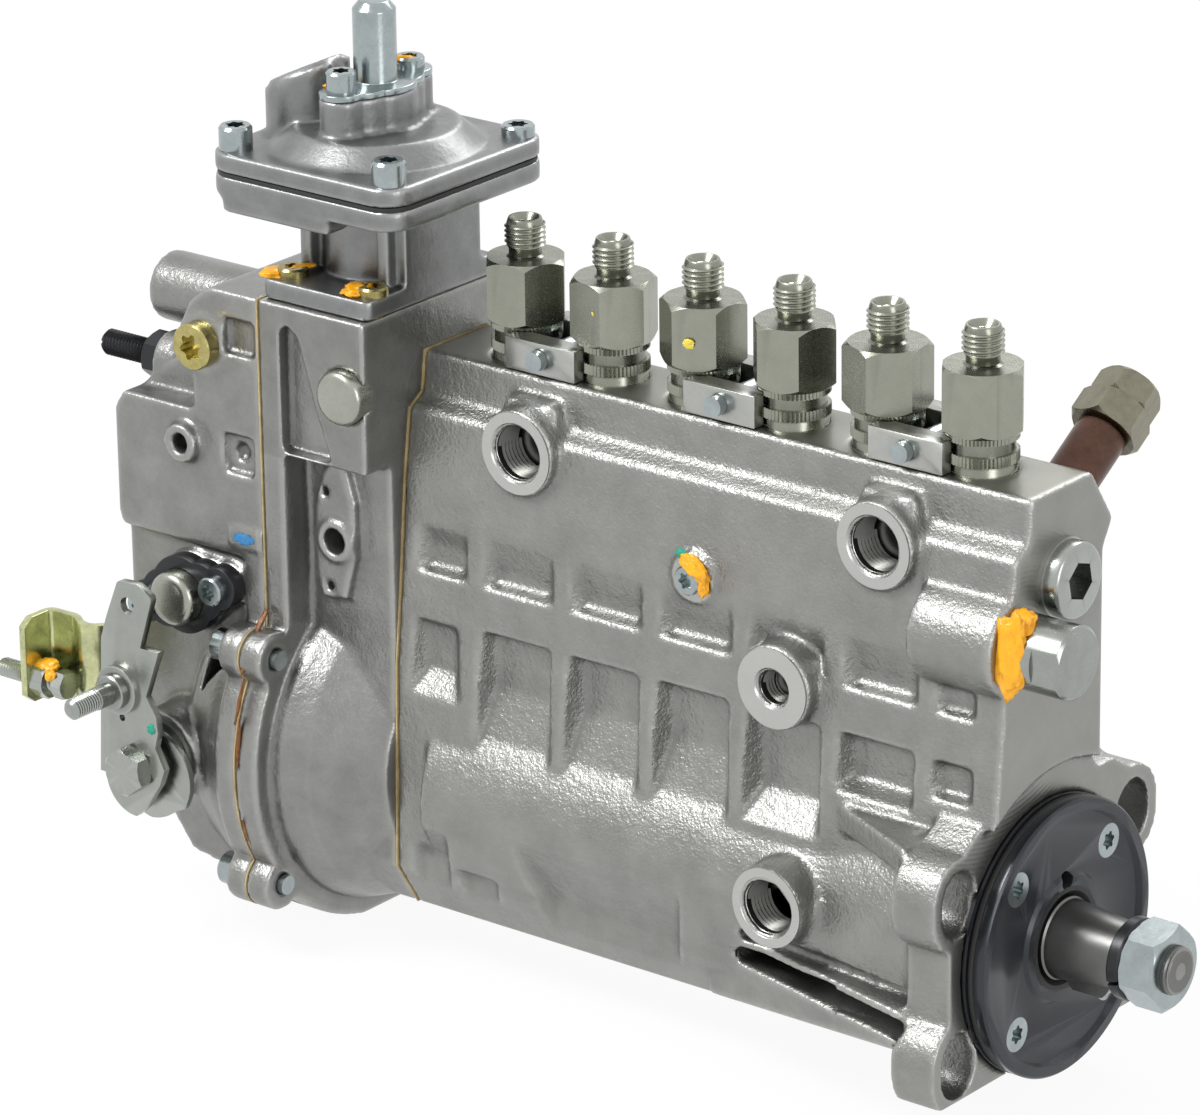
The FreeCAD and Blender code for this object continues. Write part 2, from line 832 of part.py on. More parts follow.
rack_cap_outline = [
    ("cap_bore_radius", "0"),
    ("cap_thread_radius", "0"),
    ("cap_thread_radius", "8"),
    ("cap_radius", "8"),
    ("cap_radius", "cap_end_x - end_face_x + 7"),
    ("cap_radius - 1", "cap_end_x - end_face_x + 8"),
    ("0", "cap_end_x - end_face_x + 8"),
    ("0", "cap_end_x - end_face_x + 4"),
    ("cap_bore_radius", "cap_end_x - end_face_x + 4"),
]


def rack_cap():
    """The closed cap over the end of the rack, with two flats for a spanner."""
    body = turned(rack_cap_outline, ("end_face_x - 8", "rack_y", "rack_z"), "+X")
    flats = [
        box(
            ("cap_end_x - 9", f"rack_y {side} - 12", "rack_z - 12"),
            ("cap_end_x + 1", f"rack_y {side}", "rack_z + 12"),
        )
        for side in ("- cap_radius + 1.2",)
    ]
    flats.append(
        box(
            ("cap_end_x - 9", "rack_y + cap_radius - 1.2", "rack_z - 12"),
            ("cap_end_x + 1", "rack_y + cap_radius + 6", "rack_z + 12"),
        )
    )
    return cut(body, *flats)


def gallery_plug():
    at = ("end_face_x", "gallery_y", "gallery_z")
    ring = turned(
        [
            ("gallery_thread_radius", "0"),
            ("gallery_head_radius + 0.4", "0"),
            ("gallery_head_radius + 0.4", "gallery_ring_thickness"),
            ("gallery_thread_radius", "gallery_ring_thickness"),
        ],
        at,
        "+X",
    )
    plug = turned(
        [
            ("0", "-gallery_thread_length"),
            ("gallery_thread_radius", "-gallery_thread_length"),
            ("gallery_thread_radius", "gallery_ring_thickness"),
            ("gallery_head_radius", "gallery_ring_thickness"),
            ("gallery_head_radius", "gallery_head_length"),
            ("gallery_head_radius - 1", "gallery_head_length + 1"),
            ("0", "gallery_head_length + 1"),
        ],
        at,
        "+X",
    )
    socket_at = ("end_face_x + gallery_head_length - 4", "gallery_y", "gallery_z")
    return cut(plug, prism("gallery_socket_flats", "6", socket_at, "+X")), ring


plug_of_gallery, ring_of_gallery = gallery_plug()
cap_of_rack = rack_cap()
guide_screw = screw(
    "4.4", "2.6", "2.5", "-guide_boss_y + rack_chamber_front_y", ("guide_x", "guide_boss_y", "guide_z"), "-Y"
)


def pump_housing():
    block = pad("YZ_Plane", HOUSING_SECTION, "rear_x", "end_face_x - rear_x")
    block = round_corners(block, [2], "3")
    recess = cylinder("end_recess_radius", "end_face_x + 1", ("0", "0", "0"), "+X")
    walls = cut(block, *front_pockets(), recess)
    bulge = cylinder("bulge_radius", "-bulge_start_x - 1", ("bulge_start_x", "0", "0"), "+X")
    solid = fuse(walls, bulge, *flange(), *gussets(), *front_bosses())
    below = box(("rear_x - 5", "-70", "base_z - 30"), ("20", "70", "base_z"))
    fitted = [*cover_screws, plug_of_gallery, cap_of_rack, guide_screw, OVERFLOW.Links[0]]
    tools = [below, *low_pockets(), *flange_slots(), *front_holes(), *housing_inside(), *fitted]
    return cut(solid, *tools)


node("cover_screws", group(cover_screws))
node("rack_cap", cap_of_rack)
node("gallery_plug", group([plug_of_gallery, ring_of_gallery]))
node("rack_guide_screw", guide_screw)


def drive_end_cover():
    """The turned cover whose rim is the pilot that centres the pump."""
    outline = [
        ("bearing_radius - fit", "-cover_seat_depth - spigot_length"),
        ("bearing_radius - fit", "-cover_seat_depth"),
        ("pilot_radius - cover_undercut", "-cover_seat_depth"),
        ("pilot_radius - cover_undercut", "0"),
        ("pilot_radius", "0"),
        ("pilot_radius", "o_ring_groove_x - 1.4"),
        ("pilot_radius - 2 * o_ring_radius + 0.1", "o_ring_groove_x - 1.4"),
        ("pilot_radius - 2 * o_ring_radius + 0.1", "o_ring_groove_x + 1.4"),
        ("pilot_radius", "o_ring_groove_x + 1.4"),
        ("pilot_radius", "pilot_length - 0.6"),
        ("pilot_radius - 0.6", "pilot_length"),
        ("pilot_radius - 3.6", "pilot_length"),
        ("pilot_radius - 4.4", "pilot_length - 1.5"),
        ("seal_radius + 4", "pilot_length - 1.5"),
        ("seal_radius + 3", "pilot_length - 0.5"),
        ("seal_radius", "pilot_length - 0.5"),
        ("seal_radius", "pilot_length - 0.5 - seal_length"),
        ("seal_shaft_radius + 0.6", "pilot_length - 0.5 - seal_length"),
        ("seal_shaft_radius + 0.6", "-cover_seat_depth - spigot_length"),
    ]
    return cut(turned(outline, ("0", "0", "0"), "+X"), *cover_screws)


def drive_end_seals():
    ring = doc.addObject("Part::Torus", "Ring")
    bind(ring, "Radius1", "pilot_radius - o_ring_radius + 0.1")
    bind(ring, "Radius2", "o_ring_radius - 0.2")
    place(ring, ("o_ring_groove_x", "0", "0"), "+X")
    lip = turned(
        [
            ("seal_shaft_radius + fit", "0"),
            ("seal_radius", "0"),
            ("seal_radius", "seal_length"),
            ("seal_shaft_radius + 1.6", "seal_length"),
            ("seal_shaft_radius + fit", "seal_length - 2"),
        ],
        ("pilot_length - 0.5 - seal_length", "0", "0"),
        "+X",
    )
    return group([ring, lip])


node("drive_end_cover", drive_end_cover())
node("drive_end_seals", drive_end_seals())

CAM_ANGLES = {0: 30, 4: 90, 2: 150, 5: 210, 1: 270, 3: 330}


def lobe(k):
    """One cam: base circle, nose and the flanks that touch both, turned to its place in the firing order."""
    nose_reach = "(cam_base_radius + cam_lift - cam_nose_radius)"
    slope = f"((cam_base_radius - cam_nose_radius) / {nose_reach})"
    run = f"sqrt(1 - {slope} * {slope})"
    start = f"{plunger_x(k)} - cam_width / 2"
    flanks = pad(
        "YZ_Plane",
        [
            (f"-cam_base_radius * {run}", f"cam_base_radius * {slope}"),
            ("0", "0"),
            (f"cam_base_radius * {run}", f"cam_base_radius * {slope}"),
            (f"cam_nose_radius * {run}", f"{nose_reach} + cam_nose_radius * {slope}"),
            (f"-cam_nose_radius * {run}", f"{nose_reach} + cam_nose_radius * {slope}"),
        ],
        "0",
        "cam_width",
    )
    place(flanks, (start, "0", "0"), Rotation(Vector(1, 0, 0), CAM_ANGLES[k]))
    nose = cylinder("cam_nose_radius", "cam_width", ("0", "0", "0"), "+X")
    turn = Rotation(Vector(1, 0, 0), CAM_ANGLES[k])
    up = turn.multVec(Vector(0, 0, 1))
    place(nose, (start, f"{up.y} * {nose_reach}", f"{up.z} * {nose_reach}"), "+X")
    return [flanks, nose, cylinder("cam_base_radius", "cam_width", (start, "0", "0"), "+X")]


def woodruff_key():
    """The half-round key in the taper, on the underside of the shaft."""
    disc = cylinder("key_radius", "key_width", ("key_x", "-key_width / 2", "-taper_big_radius + 4"), "+Y")
    top = "-taper_big_radius + 3.4"
    lower = box(("key_x - key_radius", "-key_width", "-taper_big_radius - 2.4"), ("key_x + key_radius", "key_width", top))
    return common(disc, lower)


KEY = woodruff_key()


def camshaft():
    shaft = turned(
        [
            ("0", "-240"),
            ("5", "-240"),
            ("5", "carrier_x - carrier_thickness - 4"),
            ("8", "carrier_x - carrier_thickness - 4"),
            ("8", "carrier_x"),
            ("journal_radius - 1", "carrier_x"),
            ("journal_radius - 1", "rear_bearing_x"),
            ("journal_radius", "rear_bearing_x"),
            ("journal_radius", "rear_bearing_x + bearing_width"),
            ("camshaft_radius", "rear_bearing_x + bearing_width"),
            ("camshaft_radius", "drive_bearing_x"),
            ("journal_radius", "drive_bearing_x"),
            ("journal_radius", "drive_bearing_x + bearing_width"),
            ("seal_shaft_radius", "drive_bearing_x + bearing_width"),
            ("seal_shaft_radius", "taper_start_x - 0.5"),
            ("taper_big_radius", "taper_start_x"),
            ("taper_small_radius", "taper_start_x + taper_length"),
            ("shaft_thread_radius", "taper_start_x + taper_length"),
            ("shaft_thread_radius", "shaft_end_x - 1.2"),
            ("shaft_thread_radius - 1.2", "shaft_end_x"),
            ("0", "shaft_end_x"),
        ],
        ("0", "0", "0"),
        "+X",
    )
    lobes = [piece for k in CYLINDERS for piece in lobe(k)]
    centre = cone("0.5", "2.6", "2.5", ("shaft_end_x - 2.4", "0", "0"), "+X")
    return cut(fuse(shaft, *lobes), KEY, centre)


def washer_and_nut():
    start = "taper_start_x + taper_length"
    washer = turned(
        [
            ("shaft_thread_radius", "0.2"),
            ("washer_radius", "0.2"),
            ("washer_radius", "washer_thickness"),
            ("shaft_thread_radius", "washer_thickness"),
        ],
        (start, "0", "0"),
        "+X",
    )
    nut_x = f"{start} + washer_thickness"
    block = prism("nut_flats", "nut_length", (nut_x, "0", "0"), "+X", 12)
    edge = "nut_flats / 2 + 0.6"
    shape = turned(
        [("shaft_thread_radius", "0"), (edge, "0"), ("nut_flats / sqrt(3) + 0.1", "1.4"),
         ("nut_flats / sqrt(3) + 0.1", "nut_length - 1.4"), (edge, "nut_length"), ("shaft_thread_radius", "nut_length")],
        (nut_x, "0", "0"),
        "+X",
    )
    return washer, common(block, shape)


def bearings():
    cups, cones = [], []
    for x in ("drive_bearing_x", "rear_bearing_x"):
        cups.append(
            turned(
                [
                    ("bearing_split_radius + fit", "0"),
                    ("bearing_radius", "0"),
                    ("bearing_radius", "bearing_width"),
                    ("bearing_split_radius + fit", "bearing_width"),
                ],
                (x, "0", "0"),
                "+X",
            )
        )
        cones.append(
            turned(
                [
                    ("journal_radius", "0"),
                    ("journal_radius + 4", "0"),
                    ("journal_radius + 4", "1.5"),
                    ("bearing_split_radius", "1.5"),
                    ("bearing_split_radius", "bearing_width - 1.5"),
                    ("journal_radius + 4", "bearing_width - 1.5"),
                    ("journal_radius + 4", "bearing_width"),
                    ("journal_radius", "bearing_width"),
                ],
                (x, "0", "0"),
                "+X",
            )
        )
    return group(cups), group(cones)


def flyweight_carrier():
    """The disc on the rear end of the camshaft, with two lugs and a pin for each flyweight."""
    back = "carrier_x - carrier_thickness"
    disc = cylinder("carrier_radius", "carrier_thickness", (back, "0", "0"), "+X")
    parts = [disc]
    for sign in (1, -1):
        for side in (1, -1):
            low_y, high_y = sorted((side * 0.5, side * 0.5 + side * 0.15))
            y_low, y_high = f"{low_y} * weight_width + {side} * 0.3", f"{high_y} * weight_width + {side} * 0.3"
            z_low, z_high = sorted((sign * 18, sign * 26))
            parts.append(box(("weight_pivot_x - 5", y_low, z_low), (f"{back} + 1", y_high, z_high)))
        parts.append(
            cylinder("weight_pin_radius", "weight_width * 1.3",
                     ("weight_pivot_x", "-weight_width * 0.65", f"{sign} * weight_pivot_z"), "+Y")
        )
    return cut(fuse(*parts), cylinder("8", "60", ("carrier_x - 40", "0", "0"), "+X"))


def flyweight(sign):
    """A weight hinged on the carrier, with a toe that pushes the governor sleeve."""
    z = [f"{sign} * (weight_pivot_z {shift})" for shift in ("- 7", "+ 5", "- 13")]
    low, high = (z[0], z[1]) if sign > 0 else (z[1], z[0])
    toe_low, toe_high = (z[2], z[0]) if sign > 0 else (z[0], z[2])
    weight = box(
        ("weight_pivot_x - weight_length + 2", "-weight_width / 2", low),
        ("weight_pivot_x + 3", "weight_width / 2", high),
    )
    toe = box(("weight_pivot_x", "-5", toe_low), ("weight_pivot_x + 3", "5", toe_high))
    hole = cylinder("weight_pin_radius + fit", "weight_width + 2",
                    ("weight_pivot_x", "-weight_width / 2 - 1", f"{sign} * weight_pivot_z"), "+Y")
    return cut(fuse(weight, toe), hole)


def governor_sleeve():
    return turned(
        [
            ("5 + fit", "0"),
            ("governor_sleeve_radius", "0"),
            ("governor_sleeve_radius", "governor_sleeve_length - 3"),
            ("governor_sleeve_radius + 4", "governor_sleeve_length - 3"),
            ("governor_sleeve_radius + 4", "governor_sleeve_length"),
            ("5 + fit", "governor_sleeve_length"),
        ],
        ("weight_pivot_x - 0.3 - governor_sleeve_length", "0", "0"),
        "+X",
    )


def coil_outline(inner, outer, length, turns):
    """The outline of a spring drawn as a corrugated tube with one ridge for each turn."""
    points = [(inner, "0")]
    for turn in range(turns):
        points.append((f"{outer} - 1.4", f"{length} * {turn / turns}"))
        points.append((outer, f"{length} * {(turn + 0.5) / turns}"))
    points.append((f"{outer} - 1.4", length))
    points.append((inner, length))
    return points


def tappet(k):
    """A roller tappet at the top of its stroke, with its roller and pin as separate solids."""
    x = plunger_x(k)
    roller_z = "(cam_base_radius + cam_lift + roller_radius + roller_clearance)"
    shell = cylinder("tappet_radius", "tappet_length", (x, "0", "tappet_low_z"))
    pin = cylinder("roller_pin_radius", "tappet_radius * 1.8", (x + " - tappet_radius * 0.9", "0", roller_z), "+X")
    roller = cut(
        cylinder("roller_radius", "roller_width", (f"{x} - roller_width / 2", "0", roller_z), "+X"), pin
    )
    slot = box(
        (f"{x} - roller_width / 2 - 0.3", "-14", "tappet_low_z - 1"),
        (f"{x} + roller_width / 2 + 0.3", "14", f"{roller_z} + roller_radius + 1"),
    )
    return group([cut(shell, slot, pin), roller, pin])


def plunger(k):
    """A plunger on its tappet, with the vane that lies in the slots of its control sleeve."""
    x = plunger_x(k)
    height = "(plunger_top_z - tappet_low_z - tappet_length)"
    rod = turned(
        [
            ("0", "0"),
            ("plunger_foot_radius", "0"),
            ("plunger_foot_radius", "plunger_foot_height"),
            ("plunger_radius", "plunger_foot_height"),
            ("plunger_radius", height),
            ("0", height),
        ],
        (x, "0", "tappet_low_z + tappet_length"),
    )
    vane = box(
        (f"{x} - vane_thickness / 2", "-vane_reach", "sleeve_low_z - vane_overhang"),
        (f"{x} + vane_thickness / 2", "vane_reach", "sleeve_low_z + slot_height - fit"),
    )
    return fuse(rod, vane)


def plunger_springs():
    start = "tappet_low_z + tappet_length + 0.1"
    outline = coil_outline("spring_inner_radius", "spring_outer_radius", f"(spring_top_z - ({start}))", 3)
    return group([turned(outline, (plunger_x(k), "0", start)) for k in CYLINDERS])


def control_sleeve(k):
    """The sleeve that turns a plunger, with the arm that reaches into the rack, and that plunger."""
    x = plunger_x(k)
    tube = cylinder("sleeve_radius", "sleeve_top_z - sleeve_low_z", (x, "0", "sleeve_low_z"))
    low = "rack_z - arm_thickness / 2"
    arm = box((f"{x} - 2", "-arm_reach", low), (f"{x} + 2", "-sleeve_bore_radius - 0.6", f"{low} + arm_thickness"))
    tip = cylinder("arm_tip_radius", "arm_thickness", (x, "-arm_reach", low))
    bore = cylinder("sleeve_bore_radius", "60", (x, "0", "sleeve_low_z - 20"))
    slots = box(
        (f"{x} - vane_thickness / 2 - fit", "-sleeve_radius - 1", "sleeve_low_z - 1"),
        (f"{x} + vane_thickness / 2 + fit", "sleeve_radius + 1", "sleeve_low_z + slot_height"),
    )
    return group([cut(fuse(tube, arm, tip), bore, slots), plunger(k)])


def barrels():
    pieces = []
    for k in CYLINDERS:
        outline = [
            ("plunger_radius + fit", "0"),
            ("barrel_neck_radius", "0"),
            ("barrel_neck_radius", "barrel_shoulder_z - barrel_low_z"),
            ("barrel_radius", "barrel_shoulder_z - barrel_low_z"),
            ("barrel_radius", "barrel_top_z - barrel_low_z"),
            ("plunger_radius + fit", "barrel_top_z - barrel_low_z"),
        ]
        pieces.append(turned(outline, (plunger_x(k), "0", "barrel_low_z")))
    return group(pieces)


def delivery_valves():
    outline = [("0", "0"), ("valve_radius", "0"), ("valve_radius", "valve_length - 2"), ("1.2", "valve_length"), ("0", "valve_length")]
    return group([turned(outline, (plunger_x(k), "0", "barrel_top_z")) for k in CYLINDERS])


def valve_holder(k):
    """A delivery valve holder: threaded foot, knurled rings, hexagon and the stud for the fuel line."""
    x = plunger_x(k)
    collar = "(top_z + holder_collar_height)"
    groove = f"({collar} + lower_knurl_height)"
    upper = f"({groove} + holder_groove_height)"
    hexagon = f"({upper} + upper_knurl_height)"
    neck = f"({hexagon} + holder_hex_height)"
    stud = f"({neck} + stud_neck_height)"
    top = f"({stud} + stud_height)"
    core = turned(
        [
            ("0", "barrel_top_z + 1"),
            ("holder_collar_radius", "barrel_top_z + 1"),
            ("holder_collar_radius", collar),
            ("holder_knurl_radius", f"{collar} + 0.4"),
            ("holder_knurl_radius", f"{groove} - 0.4"),
            ("holder_groove_radius", groove),
            ("holder_groove_radius", upper),
            ("holder_knurl_radius", f"{upper} + 0.4"),
            ("holder_knurl_radius", hexagon),
            ("stud_neck_radius", hexagon),
            ("stud_neck_radius", stud),
            ("stud_radius", f"{stud} + 1"),
            ("stud_radius", f"{top} - 1.2"),
            ("stud_radius - 1.2", top),
            ("0", top),
        ],
        (x, "0", "0"),
    )
    outside = "holder_hex_flats / sqrt(3) + 0.1"
    shape = turned(
        [("0", hexagon), ("holder_hex_flats / 2 + 0.3", hexagon), (outside, f"{hexagon} + 1.2"),
         (outside, f"{neck} - 1.2"), ("holder_hex_flats / 2 + 0.3", neck), ("0", neck)],
        (x, "0", "0"),
    )
    block = prism("holder_hex_flats", "holder_hex_height", (x, "0", hexagon), "+Z", HOLDER_TURNS[k])
    hollow = turned(
        [
            ("0", "barrel_top_z"),
            ("valve_radius + 1", "barrel_top_z"),
            ("valve_radius + 1", "barrel_top_z + valve_length + 1"),
            ("stud_bore_radius", "barrel_top_z + valve_length + 3"),
            ("stud_bore_radius", f"{top} - 4"),
            ("stud_cone_radius", f"{top} + 0.01"),
            ("0", f"{top} + 0.01"),
        ],
        (x, "0", "0"),
    )
    return cut(fuse(core, common(block, shape)), hollow)


HOLDER_TURNS = [8, 50, 24, 12, 38, 4]


def jaws():
    """Pairs of jaws between neighbouring holders, drawn together by a screw so that they grip the knurled rings."""
    plates, screws = [], []
    for k in CYLINDERS[::2]:
        middle = f"({plunger_x(k)} + pitch / 2)"
        low, high = f"{middle} - jaw_width / 2", f"{middle} + jaw_width / 2"
        bolt = cylinder("jaw_screw_radius", "2 * (-jaw_front_y + jaw_screw_reach)",
                        (middle, "jaw_front_y - jaw_screw_reach", "top_z + 0.3 + jaw_height / 2"), "+Y")
        rings = [
            cylinder("holder_knurl_radius + 0.1", "jaw_height + 2", (plunger_x(j), "0", "top_z - 1")) for j in (k, k + 1)
        ]
        for near, far in (("jaw_front_y", "jaw_front_y + jaw_depth"), ("-jaw_front_y - jaw_depth", "-jaw_front_y")):
            plate = box((low, near, "top_z + 0.3"), (high, far, "top_z + 0.3 + jaw_height"))
            plates.append(cut(plate, *rings, bolt))
        head_y = "-jaw_front_y + jaw_screw_reach"
        screws.append(fuse(bolt, prism("10", "4", (middle, f"{head_y} - 3", "top_z + 0.3 + jaw_height / 2"), "+Y")))
    return group(plates), group(screws)


def control_rack():
    """The round rack with a notch for the arm of each sleeve."""
    rod = cylinder("rack_radius", "rack_front_x - rack_rear_x", ("rack_rear_x", "rack_y", "rack_z"), "+X")
    half = "(arm_tip_radius + notch_clearance)"
    notches = [
        box((f"{plunger_x(k)} - {half}", "-arm_reach - arm_tip_radius - 0.4", "rack_z - 5"),
            (f"{plunger_x(k)} + {half}", "rack_y + 6", "rack_z + 5"))
        for k in CYLINDERS
    ]
    return cut(rod, *notches)


def overflow_valve():
    """The return valve screwed into the rear chamfer: body, hexagon and banjo cap."""
    tilt = Rotation(Vector(1, 0, 0), -SIZES["overflow_tilt"])
    along = tilt.multVec(Vector(0, 0, 1))

    def at(distance):
        return ("overflow_x", f"overflow_y + {along.y} * ({distance})", f"overflow_z + {along.z} * ({distance})")

    stem = cylinder("overflow_radius", "overflow_length + 7", at("-7"))
    collar = doc.addObject("Part::Prism", "Prism")
    collar.Polygon = 6
    bind(collar, "Circumradius", "19 / sqrt(3)")
    bind(collar, "Height", "9")
    place(collar, at("overflow_length"), tilt)
    cap = doc.addObject("Part::Prism", "Prism")
    cap.Polygon = 6
    bind(cap, "Circumradius", "17 / sqrt(3)")
    bind(cap, "Height", "8")
    place(cap, at("overflow_length + 9"), tilt)
    place(stem, at("-7"), tilt)
    return group([stem, fuse(collar, cap)])


OVERFLOW = overflow_valve()
node("pump_housing", pump_housing())
WASHER, NUT = washer_and_nut()
CUPS, CONES = bearings()
JAWS, JAW_SCREWS = jaws()
node("camshaft", camshaft())
node("woodruff_key", KEY)
node("spring_washer", WASHER)
node("shaft_nut", NUT)
node("bearing_cups", CUPS)
node("bearing_cones", CONES)
node("flyweight_carrier", flyweight_carrier())
node("flyweight_upper", flyweight(1))
node("flyweight_lower", flyweight(-1))
node("governor_sleeve", governor_sleeve())
for k in CYLINDERS:
    node(f"tappet_{k + 1}", tappet(k))
    node(f"control_sleeve_{k + 1}", control_sleeve(k))
node("plunger_springs", plunger_springs())
node("barrels", barrels())
node("delivery_valves", delivery_valves())
node("valve_holders", group([valve_holder(k) for k in CYLINDERS]))
node("clamp_jaws", JAWS)
node("clamp_screws", JAW_SCREWS)
node("control_rack", control_rack())
node("overflow_valve", OVERFLOW)


def governor_gaskets():
    front = pad("YZ_Plane", HOUSING_SECTION, "rear_x - gasket_thickness", "gasket_thickness")
    bore = cylinder("bearing_radius + 1", "4", ("rear_x - 2", "0", "0"), "+X")
    passage = cylinder("rack_radius + 1", "4", ("rear_x - 2", "rack_y", "rack_z"), "+X")
    rear = cut(fuse(*joint_outline("cover_joint_x - gasket_thickness", "gasket_thickness")),
               *joint_hollow("cover_joint_x - gasket_thickness - 1", "gasket_thickness + 2"), *COVER_BOLTS)
    return group([cut(front, bore, passage), rear])


def joint_outline(start, length):
    """The outline that governor housing and cover share at their joint: a round rim and an upright block."""
    rim = cylinder("governor_radius", length, (start, "0", "governor_z"), "+X")
    block = box((start, "block_front_y", "40"), (f"({start}) + ({length})", "block_back_y", "block_top_z"))
    ears = []
    for side in ("-cover_bolt_y", "cover_bolt_y"):
        for height in ("cover_bolt_top_z", "cover_bolt_low_z"):
            ears.append(cylinder("cover_bolt_radius + 5", length, (start, side, height), "+X"))
    return [rim, block, *ears]


def joint_hollow(start, length):
    """The opening inside that joint."""
    ring = cylinder("governor_radius - 10", length, (start, "0", "governor_z"), "+X")
    slot = box(
        (start, "block_front_y + governor_wall + 2", "20"),
        (f"({start}) + ({length})", "block_back_y - governor_wall - 2", "block_top_z - 18"),
    )
    return [ring, slot]


def cover_bolts():
    bolts = []
    for side in ("-cover_bolt_y", "cover_bolt_y"):
        for height in ("cover_bolt_top_z", "cover_bolt_low_z"):
            at = ("cover_joint_x - gasket_thickness - governor_rim_width", side, height)
            bolts.append(
                screw(
                    "cover_bolt_head_radius", "cover_bolt_head_height", "cover_bolt_radius",
                    "2 * governor_rim_width + gasket_thickness + 1.5", at, "-X",
                )
            )
    return bolts


def core_plug(at, facing, height):
    return turned(
        [
            ("0", "-3"),
            ("plug_radius", "-3"),
            ("plug_radius", f"{height} - 1.2"),
            ("plug_radius - 1.2", height),
            ("0", height),
        ],
        at,
        facing,
    )


def boost_screws():
    """The screws of the boost unit: two on its foot, four round its flange, two on the pin cap plate."""
    foot_z = "block_top_z + boost_plate_thickness"
    screws = []
    for shift in ("-15", "15"):
        at = (f"boost_x + {shift}", "boost_y - 21", foot_z)
        screws.append(screw("4.6", "2.8", "2.5", "12", at))
    for x_sign in (-1, 1):
        for y_sign in (-1, 1):
            at = (f"boost_x + {x_sign} * boost_screw_half", f"boost_y + {y_sign} * boost_screw_half", "boost_flange_top_z")
            tall = x_sign * y_sign == -1 and x_sign == 1 or (x_sign, y_sign) == (-1, -1)
            screws.append(screw("4.9", "7" if tall else "3.4", "2.5", "11", at))
    for y_sign, height in ((-1, "6"), (1, "3.4")):
        at = ("boost_x", f"boost_y + {y_sign} * 15", "boost_boss_top_z + cap_plate_thickness")
        screws.append(screw("4.4", height, "2.2", "9", at))
    return screws


COVER_BOLTS = cover_bolts()
BOOST_SCREWS = boost_screws()
SIDE_PLUG = core_plug(("plug_boss_x", "block_front_y", "plug_z"), "-Y", "plug_height")
RETAINER_PLUG = core_plug(("retainer_x", "block_front_y - retainer_height", "retainer_z"), "-Y", "6")


